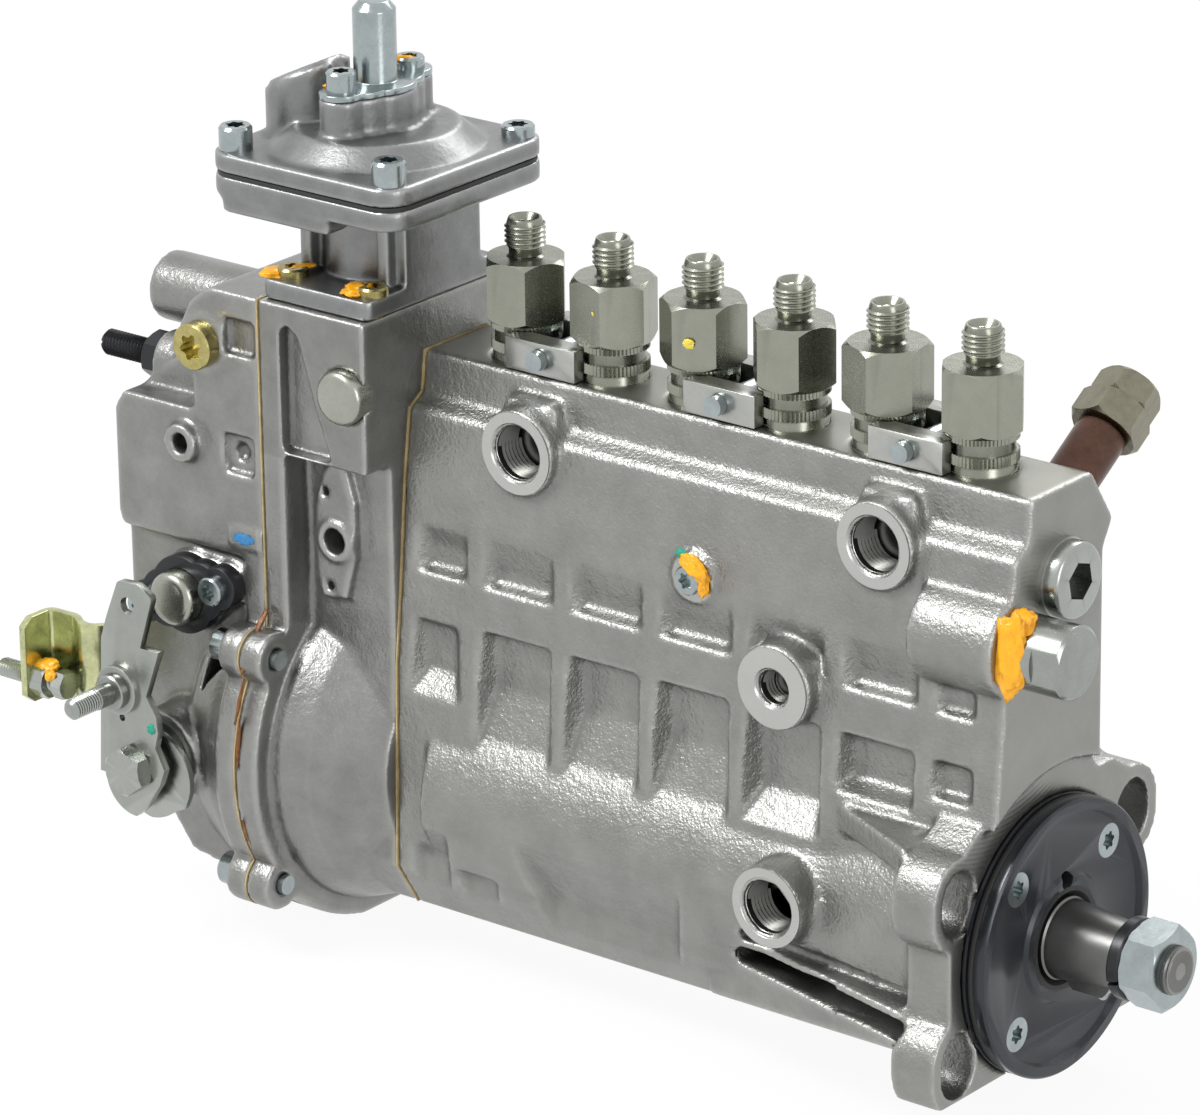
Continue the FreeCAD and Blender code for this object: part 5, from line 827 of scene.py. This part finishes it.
finish_faces(pump_casting, "end_face", lambda c, n: n.x > 0.94 and c.x > -1)
finish_faces(pump_casting, "machined", on_boss)
# The faces inside the bores are darkened: painted shade for the depth of the holes.
finish_faces(pump_casting, "bore_painted_shade", in_bore)
finish_faces(pump_casting, "ground_top", lambda c, n: n.z > 0.96 and c.z > 132)
finish_faces(governor_casting, "milled", lambda c, n: n.y < -0.96 and c.y < -41.2 and c.z > 100)
finish_faces(governor_casting, "machined", lambda c, n: n.z > 0.96 and c.z > 146)
finish_faces(cover_casting, "machined", lambda c, n: n.y < -0.96 and near(c, *LEFT_PLUG, 12.5))
finish_faces(boost_dome, "machined", lambda c, n: n.dot(MOUTH_WAY) > 0.95 and (c - MOUTH).length < 14)
finish_faces(boost_casting, "machined", lambda c, n: n.z > 0.96 and c.z > 183)

# %% [markdown]
# ## Softened sheet and bar
# Levers and jaws are cut from sheet or bar, and tumbling takes the sharpness off them. Their frame shape is
# right, so it is copied, its flat faces are merged, and a Bevel limited by angle rounds only the real edges.

# %% Soften sawn and pressed pieces


def soften(node, width, finish, segments=2, removed=(), body="pump"):
    """Copies a frame node, cuts the tools from it, rounds its real edges and lets it stand for the node."""
    piece = merged_copy(node, node + "_softened")
    for tool in removed:
        cut_with(piece, tool)
    edit(piece)
    bpy.ops.mesh.dissolve_limited(angle_limit=math.radians(1.5))
    bpy.ops.object.mode_set(mode="OBJECT")
    sharp = math.radians(35)
    change(piece, "BEVEL", width=width * MM, segments=segments, limit_method="ANGLE", angle_limit=sharp)
    return fit(coat(smooth(piece, 40), finish), body, [node])


soften("clamp_jaws", 0.5, "jaw_steel")
foot_trim = tube("foot_trim", 11.4, 26, -4, 6, 64)
cut_with(foot_trim, block("upper_half", (-30, 0, -6), (30, 30, 8)))
seat(foot_trim, (-280.8, -64, -2.0), "-Y")
soften("control_lever", 0.3, "lever_steel", removed=[foot_trim], body="control_lever")
plate_trim = seat(tube("plate_trim", 14, 40, -4, 30, 64), (-277.6, -40, -1), "-Y")
soften("return_plate", 0.3, "lever_steel", removed=[plate_trim])
soften("shaft_retainer", 0.5, "black_steel")
soften("rack_cap", 0.9, "grey_zinc", 3)
soften("pin_cap", 1.0, "blue_zinc", 4)

# %% [markdown]
# ## The stop bracket
# It is a strip of sheet, bent in plan like a flat S, with its two outer corners cut off. An upright edge is
# drawn along the bends, rounded there, and then thickened.

# %% Bend the stop bracket


def ribbon(name, path, low, high, thickness, bend):
    """A bent sheet: an upright edge drawn along a path in plan, rounded at its bends and given thickness."""
    bpy.ops.object.select_all(action="DESELECT")
    bpy.ops.mesh.primitive_plane_add(size=1)
    piece = bpy.context.object
    piece.name = name
    pick(piece, "vertices", lambda index, vertex: vertex.co.x > 0)
    bpy.ops.mesh.delete(type="VERT")
    bpy.ops.object.mode_set(mode="OBJECT")
    upright = Matrix.Rotation(math.radians(90), 4, "X")
    tall = Matrix.Diagonal((1, (high - low) * MM, 1, 1))
    start = Matrix.Translation((path[0][0] * MM, path[0][1] * MM, (low + high) / 2 * MM))
    piece.matrix_world = start @ upright @ tall @ Matrix.Translation((0.5, 0, 0))
    fix_place(piece)
    edit(piece)
    for (x0, y0), (x1, y1) in zip(path, path[1:]):
        step = ((x1 - x0) * MM, (y1 - y0) * MM, 0)
        bpy.ops.mesh.extrude_region_move(TRANSFORM_OT_translate={"value": step})
    bpy.ops.object.mode_set(mode="OBJECT")
    gentle, square = math.radians(12), math.radians(60)
    change(piece, "BEVEL", width=bend * MM, segments=4, limit_method="ANGLE", angle_limit=gentle)
    change(piece, "SOLIDIFY", thickness=thickness * MM, offset=0)
    change(piece, "BEVEL", width=0.35 * MM, segments=2, limit_method="ANGLE", angle_limit=square)
    edit(piece)
    return close_up(piece, 40)


bracket = ribbon(
    "stop_bracket_bent",
    [(-324.8, -66), (-324.8, -53.4), (-314, -53), (-310.5, -56.2), (-305.5, -57), (-302, -53)],
    low=11.5,
    high=38.5,
    thickness=2.4,
    bend=2.2,
)
for height, lean in ((40.6, 38), (9.4, -38)):
    corner = block("corner_off", (-6, -7, -6), (6, 7, 6))
    cut_with(bracket, lay(corner, (-324.8, -69.6, height), math.radians(lean), "X"))
fit(coat(smooth(bracket, 40), "olive_zinc"), "pump", ["stop_bracket"])

# %% [markdown]
# ## Delivery valve holders
# Each holder is one turned steel bar: a collar with two knurled rings that the locking jaws grip, a hexagon
# for the spanner, and a threaded stud with a sealing cone for the pipe. One is joined from turned parts and
# copied, and each stands at the angle at which it was tightened.

# %% Make six valve holders
PLUNGERS_X = [-183, -151, -119, -87, -55, -23]
HOLDER_TURNS = [8, 50, 24, 12, 38, 4]

core = turned(
    "holder_core",
    [(9.75, 118), (9.75, 134.3), (9.4, 134.8), (9.2, 138.2), (9.2, 141.2), (9.4, 143.8), (4, 143.9)],
)
neck = turned(
    "holder_neck",
    [
        (8, 161.6), (5.6, 162.1), (4.75, 162.7), (4.75, 164.4), (5.3, 165.2), (5.3, 165.6), (5.3, 171.9),
        (4.9, 173.2), (4.7, 173.5), (4.2, 173.5), (2, 170.8), (2, 163),
    ],
)
holder = joined(
    "holder",
    [
        core,
        knurled("upper_knurl", 10.3, 0.5, 141.4, 143.6, 54),
        knurled("lower_knurl", 10.3, 0.5, 135, 138, 54),
        hex_head("holder_hexagon", 22, 143.6, 162.1, 1.5),
        neck,
        seat(thread("stud_thread", 6, 0.8, 1.5, 6.2), (0, 0, 165.5)),
    ],
)
holders = [holder] + [twin(holder) for _ in PLUNGERS_X[1:]]
for piece, x, turned_by in zip(holders, PLUNGERS_X, HOLDER_TURNS):
    seat(piece, (x, 0, 0), "+Z", turned_by - 30)
fit(coat(joined("valve_holders_turned", holders), "holder_steel"), "pump", ["valve_holders"])

# %% [markdown]
# ## Screws
# The screws are zinc-plated cheese heads with a six-lobed recess. One head is turned and punched, and then
# copied to every seat of the same size.

# %% Make the screws


def star_screw(name, radius, height, shank, shank_radius=2.9, edge=0.6):
    """A cheese head with a six-lobed recess, on the piece of its shank that shows."""
    stem = [(shank_radius, -shank), (shank_radius, 0)]
    crown = [(radius, 0), (radius, height - edge), (radius - edge * 0.8, height), (0, height)]
    head = turned(name, stem + crown, 32)
    return cut_with(head, star_punch(radius * 0.58, height, min(height * 0.75, 3)))


def set_of(name, model, seats, node, finish="blue_zinc", body="pump"):
    """Copies of one model on its seats, each a (place, facing, roll), joined to stand for the node."""
    copies = [model] + [twin(model) for _ in seats[1:]]
    for piece, (place, facing, roll) in zip(copies, seats):
        seat(piece, place, facing, roll)
    return fit(coat(smooth(joined(name, copies), 35), finish), body, [node])


bolt_seats = [((-257.1, y, z), "-X", 20) for y in (-47.1, 47.1) for z in (39.5, -31.5)]
set_of("cover_bolts_turned", star_screw("cover_bolt", 5, 6, 18), bolt_seats, "cover_bolts")

flat_screw = turned("flat_screw", [(2.9, -9), (2.9, -2.4), (5, -0.2), (5, 0), (0, 0)], 32)
cut_with(flat_screw, star_punch(2.7, 0, 2))
cover_seats = [
    ((5.42, across * 21.7, up * 21.7), "+X", roll)
    for across, up, roll in ((-1, -1, 10), (1, -1, 35), (1, 1, 0), (-1, 1, 22))
]
set_of("cover_screws_turned", flat_screw, cover_seats, "cover_screws")

retainer_screw = star_screw("retainer_screw", 4.4, 4, 7, 2.4)
retainer_seats = [((-291.5, -47, 46.2), "-Y", 12), ((-263.3, -47, 56.4), "-Y", 40)]
set_of("retainer_screws_turned", retainer_screw, retainer_seats, "retainer_screws")

foot_seats = [((x, -32.5, 153), "+Z", roll) for x, roll in ((-242.6, 5), (-212.6, 28))]
set_of("foot_screws_turned", star_screw("foot_screw", 4.6, 2.8, 9), foot_seats, "boost_screws", "brass_zinc")

BOOST = (-227.6, -11.5)
FLANGE_REACH = 28.6
for name, model, back, roll in (
    ("tall_flange_screws", star_screw("tall_screw", 4.9, 7, 6, 2.9, 0.8), -FLANGE_REACH, 15),
    ("low_flange_screws", star_screw("low_screw", 4.9, 3.4, 6), FLANGE_REACH, 30),
):
    seats = [((BOOST[0] + side * FLANGE_REACH, BOOST[1] + back, 190.5), "+Z", roll) for side in (-1, 1)]
    set_of(name, model, seats, "boost_screws")
for name, height, back in (("front_cap_screw", 6, -15), ("rear_cap_screw", 3.4, 15)):
    cap_screw = star_screw("cap_screw", 4.4, height, 3, 2.4)
    set_of(name, cap_screw, [((BOOST[0], BOOST[1] + back, 209.2), "+Z", 0)], "boost_screws")

# %% [markdown]
# ## Drive end
# The nut and its washer turn with the camshaft. The black cover's rim centres the pump in the engine. It is
# softened, and given the small drain hole above the shaft with a Boolean.

# %% Make the drive end
drain = turned("drain", [(2.6, -2), (2.6, 8.5)], 24)
seat(drain, (1, 0.5, 17), "+X")
soften("drive_end_cover", 0.35, "black_disc", removed=[drain])

nut = cut_with(hex_head("nut", 22, 0, 11, 1.3), turned("nut_bore", [(7.05, -1), (7.05, 12)]))
set_of("shaft_nut_turned", nut, [((31.4, 0, 0), "+X", -18)], "shaft_nut", body="camshaft")
washer = turned(
    "washer", [(7.1, 0), (11.4, 0), (11.8, 0.5), (11.8, 3.3), (11.4, 3.8), (7.1, 3.8), (7.1, 0)], 64
)
slit = block("slit", (5, -0.6, -1), (14, 0.6, 5))
slit.rotation_euler = (math.radians(14), 0, 0)
fix_place(slit)
cut_with(washer, slit)
washer_seats = [((27.6, 0, 0), "+X", 200)]
set_of("spring_washer_turned", washer, washer_seats, "spring_washer", "black_steel", "camshaft")
end_thread = seat(thread("shaft_end_thread", 7.02, 0.7, 1.5, 2.1), (42.4, 0, 0), "+X")
fit(coat(end_thread, "turned_steel"), "camshaft")

seal_ring = coat(tube("plug_seal_ring", 8, 11.4, 0.0, 1.5, 56), "machined")
plug_head = turned(
    "plug_head", [(8, -4), (8, 1.5), (11, 1.5), (11, 5.3), (10.6, 6.0), (9.6, 6.5), (0, 6.5)], 56
)
cut_with(plug_head, prism("socket", 10, 1.0, 8))
plug_head = joined("gallery_plug_turned", [coat(plug_head, "grey_zinc"), seal_ring])
seat(plug_head, (4.4, -1.5, 107), "+X", 12)
fit(plug_head, "pump", ["gallery_plug"])

# %% [markdown]
# ## Governor end
# The cover carries the lever's hexagon bolt and joint stud, the stop screw, two cup plugs and the adjuster.
# Threads here show over their whole length, so each gets a core with a wound ridge on it.

# %% Make the governor's fittings


def cup_plug(name, radius, height):
    """A pressed cap: straight wall, a rounded shoulder and a nearly flat top."""
    return turned(
        name,
        [
            (radius, -4), (radius, height - 2.2), (radius - 0.25, height - 1.3), (radius - 0.9, height - 0.5),
            (radius - 1.9, height - 0.1), (radius - 3.2, height), (0, height + 0.1),
        ],
    )


plugs = [
    seat(cup_plug("right_plug", 8.2, 3.5), (-216.7, -42, 124), "-Y"),
    seat(cup_plug("left_plug", 8.2, 6), (LEFT_PLUG[0], -47, LEFT_PLUG[1]), "-Y"),
]
fit(coat(joined("core_plugs_turned", plugs), "plug_zinc"), "pump", ["core_plugs"])
sealing_screw = star_screw("sealing_screw", 7, 4.5, 4, 4, 0.5)
sealing_seats = [((-269.9, -43, 129.6), "-Y", 8)]
set_of("sealing_plug_turned", sealing_screw, sealing_seats, "sealing_plug", "yellow_zinc")

adjuster = turned("adjuster", [(3.35, 0), (3.35, 33.4), (2.8, 34), (0, 34)], 32)
cut_with(adjuster, block("driver_slot", (-5, -0.5, 32), (5, 0.5, 36)))
adjuster_nut = seat(hex_head("adjuster_nut", 13, 0, 6, 0.8), (0, 0, 8.6))
adjuster_thread = thread("adjuster_thread", 4, 0.7, 1.25, 33)
adjuster = joined("adjusting_screw_cut", [adjuster, adjuster_thread, adjuster_nut])
seat(adjuster, (-292.6, -22, 113.3), "-X", 10)
fit(coat(adjuster, "black_steel"), "pump", ["adjusting_screw"])

stop_core = turned("stop_core", [(2.5, 0), (2.5, 25), (2, 25.6), (0, 25.6)], 28)
stop = joined(
    "stop_screw_cut",
    [
        stop_core,
        thread("stop_thread", 3, 0.55, 1, 25),
        seat(hex_head("stop_nut", 10, 0, 5, 0.7), (0, 0, 5.2)),
        seat(hex_head("stop_head", 8, 0, 4, 0.6), (0, 0, -1.5), "+Z", 20),
    ],
)
seat(stop, (-313.5, -60, 18.5), "-X", 15)
fit(coat(stop, "grey_zinc"), "pump", ["stop_screw"])

pivot_bolt = hex_head("pivot_bolt", 13, 0, 5.5, 0.9)
seat(pivot_bolt, (-280.9, -66.5, 2), "-Y", 8)
stud = turned(
    "joint_stud",
    [
        (7.5, 0), (7.5, 1.7), (7.1, 2), (5.5, 2.1), (5.5, 4.6), (5.1, 5), (3.4, 5.2), (3.4, 10.8), (3, 11.1),
        (3, 20.6), (2.3, 21.4), (1.4, 22), (0, 22),
    ],
    40,
)
stud = joined("joint_stud", [stud, seat(thread("stud_end_thread", 3.25, 0.5, 1, 9.5), (0, 0, 11.2))])
seat(stud, (-285.5, -66.5, 26), "-Y")
fittings = smooth(joined("lever_fittings_turned", [pivot_bolt, stud]), 35)
fit(coat(fittings, "grey_zinc"), "control_lever", ["lever_fasteners"])

# %% [markdown]
# ## Ports
# Each threaded port has a spot face square to the hole, a small chamfer that leads the union in, and the
# thread itself. The bored hole is in the casting, so only the ring and the thread's ridge are added.

# %% Cut the ports


def port(name, mouth, radius, face_radius, depth, pitch):
    """The ring round a port's mouth, and the ridge of the thread in it."""
    ring = turned(
        name + "_ring",
        [
            (radius - 0.1, -1.4), (radius + 1.1, 0.16), (face_radius, 0.16), (face_radius, -0.5),
            (radius - 0.1, -1.4),
        ],
        56,
    )
    ridge = thread(name + "_thread", radius + 0.1, 0.8, pitch, depth, inwards=True)
    seat(ridge, (0, 0, -depth - 1.2))
    # The thread's ridge takes the dark bore colour: painted shade inside the hole.
    piece = joined(name, [coat(ring, "machined"), coat(ridge, "bore_painted_shade")])
    seat(piece, mouth, "-Y")
    return fit(piece)


for name, (mouth, radius, ring_radius, reach, depth, pitch) in PORTS.items():
    port(name, mouth, radius, ring_radius, depth, pitch)

# %% [markdown]
# ## Guide screw and overflow valve
# The guide screw keeps the rack from turning. The overflow valve stands behind the top at a slant, a brown
# plated stem under two darker hexagons.

# %% Make the guide screw and the overflow valve
guide_screw = star_screw("guide_screw", 4.4, 2.6, 4)
guide_seat = ((GUIDE_SCREW[0], -27.4, GUIDE_SCREW[1]), "-Y", 0)
set_of("guide_screw_turned", guide_screw, [guide_seat], "rack_guide_screw")

valve_way = Vector((0, 0.8425, 0.5388))
stem = coat(turned("valve_stem", [(7.5, -2), (7.5, 19), (6.5, 20)], 40), "brown_zinc")
heads = joined(
    "valve_heads", [hex_head("valve_hexagon", 19, 19.8, 29, 1.2), hex_head("valve_cap", 17, 28.8, 37, 1.4)]
)
valve = joined("overflow_valve_turned", [stem, coat(heads, "umber_steel")])
seat(valve, (-8, 18.9, 124.6), valve_way, 10)
fit(valve, "pump", ["overflow_valve"])

# %% [markdown]
# ## Sealing paint
# Set screws are dabbed with orange paint, and checked pieces get yellow, blue and green dots. A dab is a
# flattened ball whose skin a Displace modifier with a cloud pattern pushes in and out.

# %% Dab the paint
# Each dab's name, place, half sizes, facing and roll.
DABS = {
    "orange_paint": [
        ("cap_paint", (8.2, -30.3, 94), (5, 11, 1.7), (0.1, -1, 0.1), 0),
        ("cap_paint_top", (8, -25.5, 101.6), (4.6, 5, 1.6), (0, -0.6, 0.8), 15),
        ("cap_paint_low", (6.6, -29, 87), (3, 5, 1.8), (0, -1, -0.2), 20),
        ("guide_paint", (-100.5, -28.6, 93.6), (5.2, 3, 1.9), "-Y", -30),
        ("guide_paint_side", (-97.8, -28.3, 89.6), (1.9, 3.6, 1.6), "-Y", 0),
        ("foot_paint_left", (-246, -34.5, 153.7), (5.5, 3.4, 1.6), "+Z", 40),
        ("foot_paint_left_edge", (-240.5, -30.2, 155.6), (3.6, 1.4, 0.6), "+Z", 60),
        ("foot_paint_right", (-216.6, -34, 154), (4.6, 4.4, 1.9), "+Z", 60),
        ("front_cap_paint", (BOOST[0] - 4.4, BOOST[1] - 13.5, 209.4), (2.6, 1.8, 0.8), "+Z", 20),
        ("rear_cap_paint", (BOOST[0] - 1, BOOST[1] + 12.4, 211.6), (5, 2, 1.4), "+Z", 30),
        ("stop_paint", (-320.2, -60.8, 23.4), (4.2, 2.8, 1.3), (0, -0.5, 0.86), 0),
        ("stop_paint_edge", (-316.6, -63.0, 21.6), (1.8, 1.6, 0.9), (0.2, -1, 0.4), 20),
    ],
    "blue_paint": [("blue_dot", (-255.6, -43.3, 72.5), (4, 1.7, 0.3), "-Y", 0)],
    "green_paint": [("green_dot", (-106, -27.5, 96.8), (1.8, 1.4, 0.5), "-Y", 0)],
    "yellow_paint": [
        ("yellow_dot_second", (-148.2, -10.9, 153.6), (1.6, 1.5, 0.35), (0.35, -1, 0), 0),
        ("yellow_dot_third", (-115.6, -11.2, 152), (1.6, 1.5, 0.35), (0.35, -1, 0), 0),
    ],
}
# The sealant that oozed from the joint of the governor: (y, z, length, width) of each lump.
SEALANT = [
    (-46, 49.5, 5, 0.9), (-52.9, 40, 5, 0.7), (-56.5, 28, 7, 0.5), (-57.7, 15, 8, 0.6),
    (-56.7, 0, 9, 1.0), (-54.3, -16, 7, 0.7), (-49.6, -31.5, 5, 1.0), (-46.5, -36.5, 2.6, 1.2),
]
DABS["brown_sealant"] = [
    (f"sealant_{number}", (-247.3, y, z), (width, length, 0.7), (0, y, z - 8), 0)
    for number, (y, z, length, width) in enumerate(SEALANT)
]
LUMP_DEPTH = 0.9
lumps = bpy.data.textures.new("lumps", "CLOUDS")
lumps.noise_scale = 0.6
lumps.noise_depth = 2


def dab(name, place, size, facing, roll, finish, seed):
    """A flattened ball whose seed says where in the cloud pattern its skin was pushed."""
    bpy.ops.object.select_all(action="DESELECT")
    bpy.ops.mesh.primitive_ico_sphere_add(subdivisions=4, radius=1, location=(seed * 3, 0, 0))
    piece = bpy.context.object
    piece.name = name
    fix_place(piece)
    change(piece, "DISPLACE", texture=lumps, strength=LUMP_DEPTH, mid_level=0.5)
    piece.location = (-seed * 3, 0, 0)
    fix_place(piece)
    piece.scale = [s * MM for s in size]
    fix_place(piece)
    solo(piece)
    bpy.ops.object.shade_smooth()
    seat(piece, place, facing, roll)
    return coat(piece, finish)


seed = 0
for finish, rows in DABS.items():
    for row in rows:
        seed += 1
        fit(dab(*row, finish, seed))
fit(dab("lever_dot", (-273.5, -66.6, 16), (1.5, 1.5, 0.35), "-Y", 0, "green_paint", 21), "control_lever")
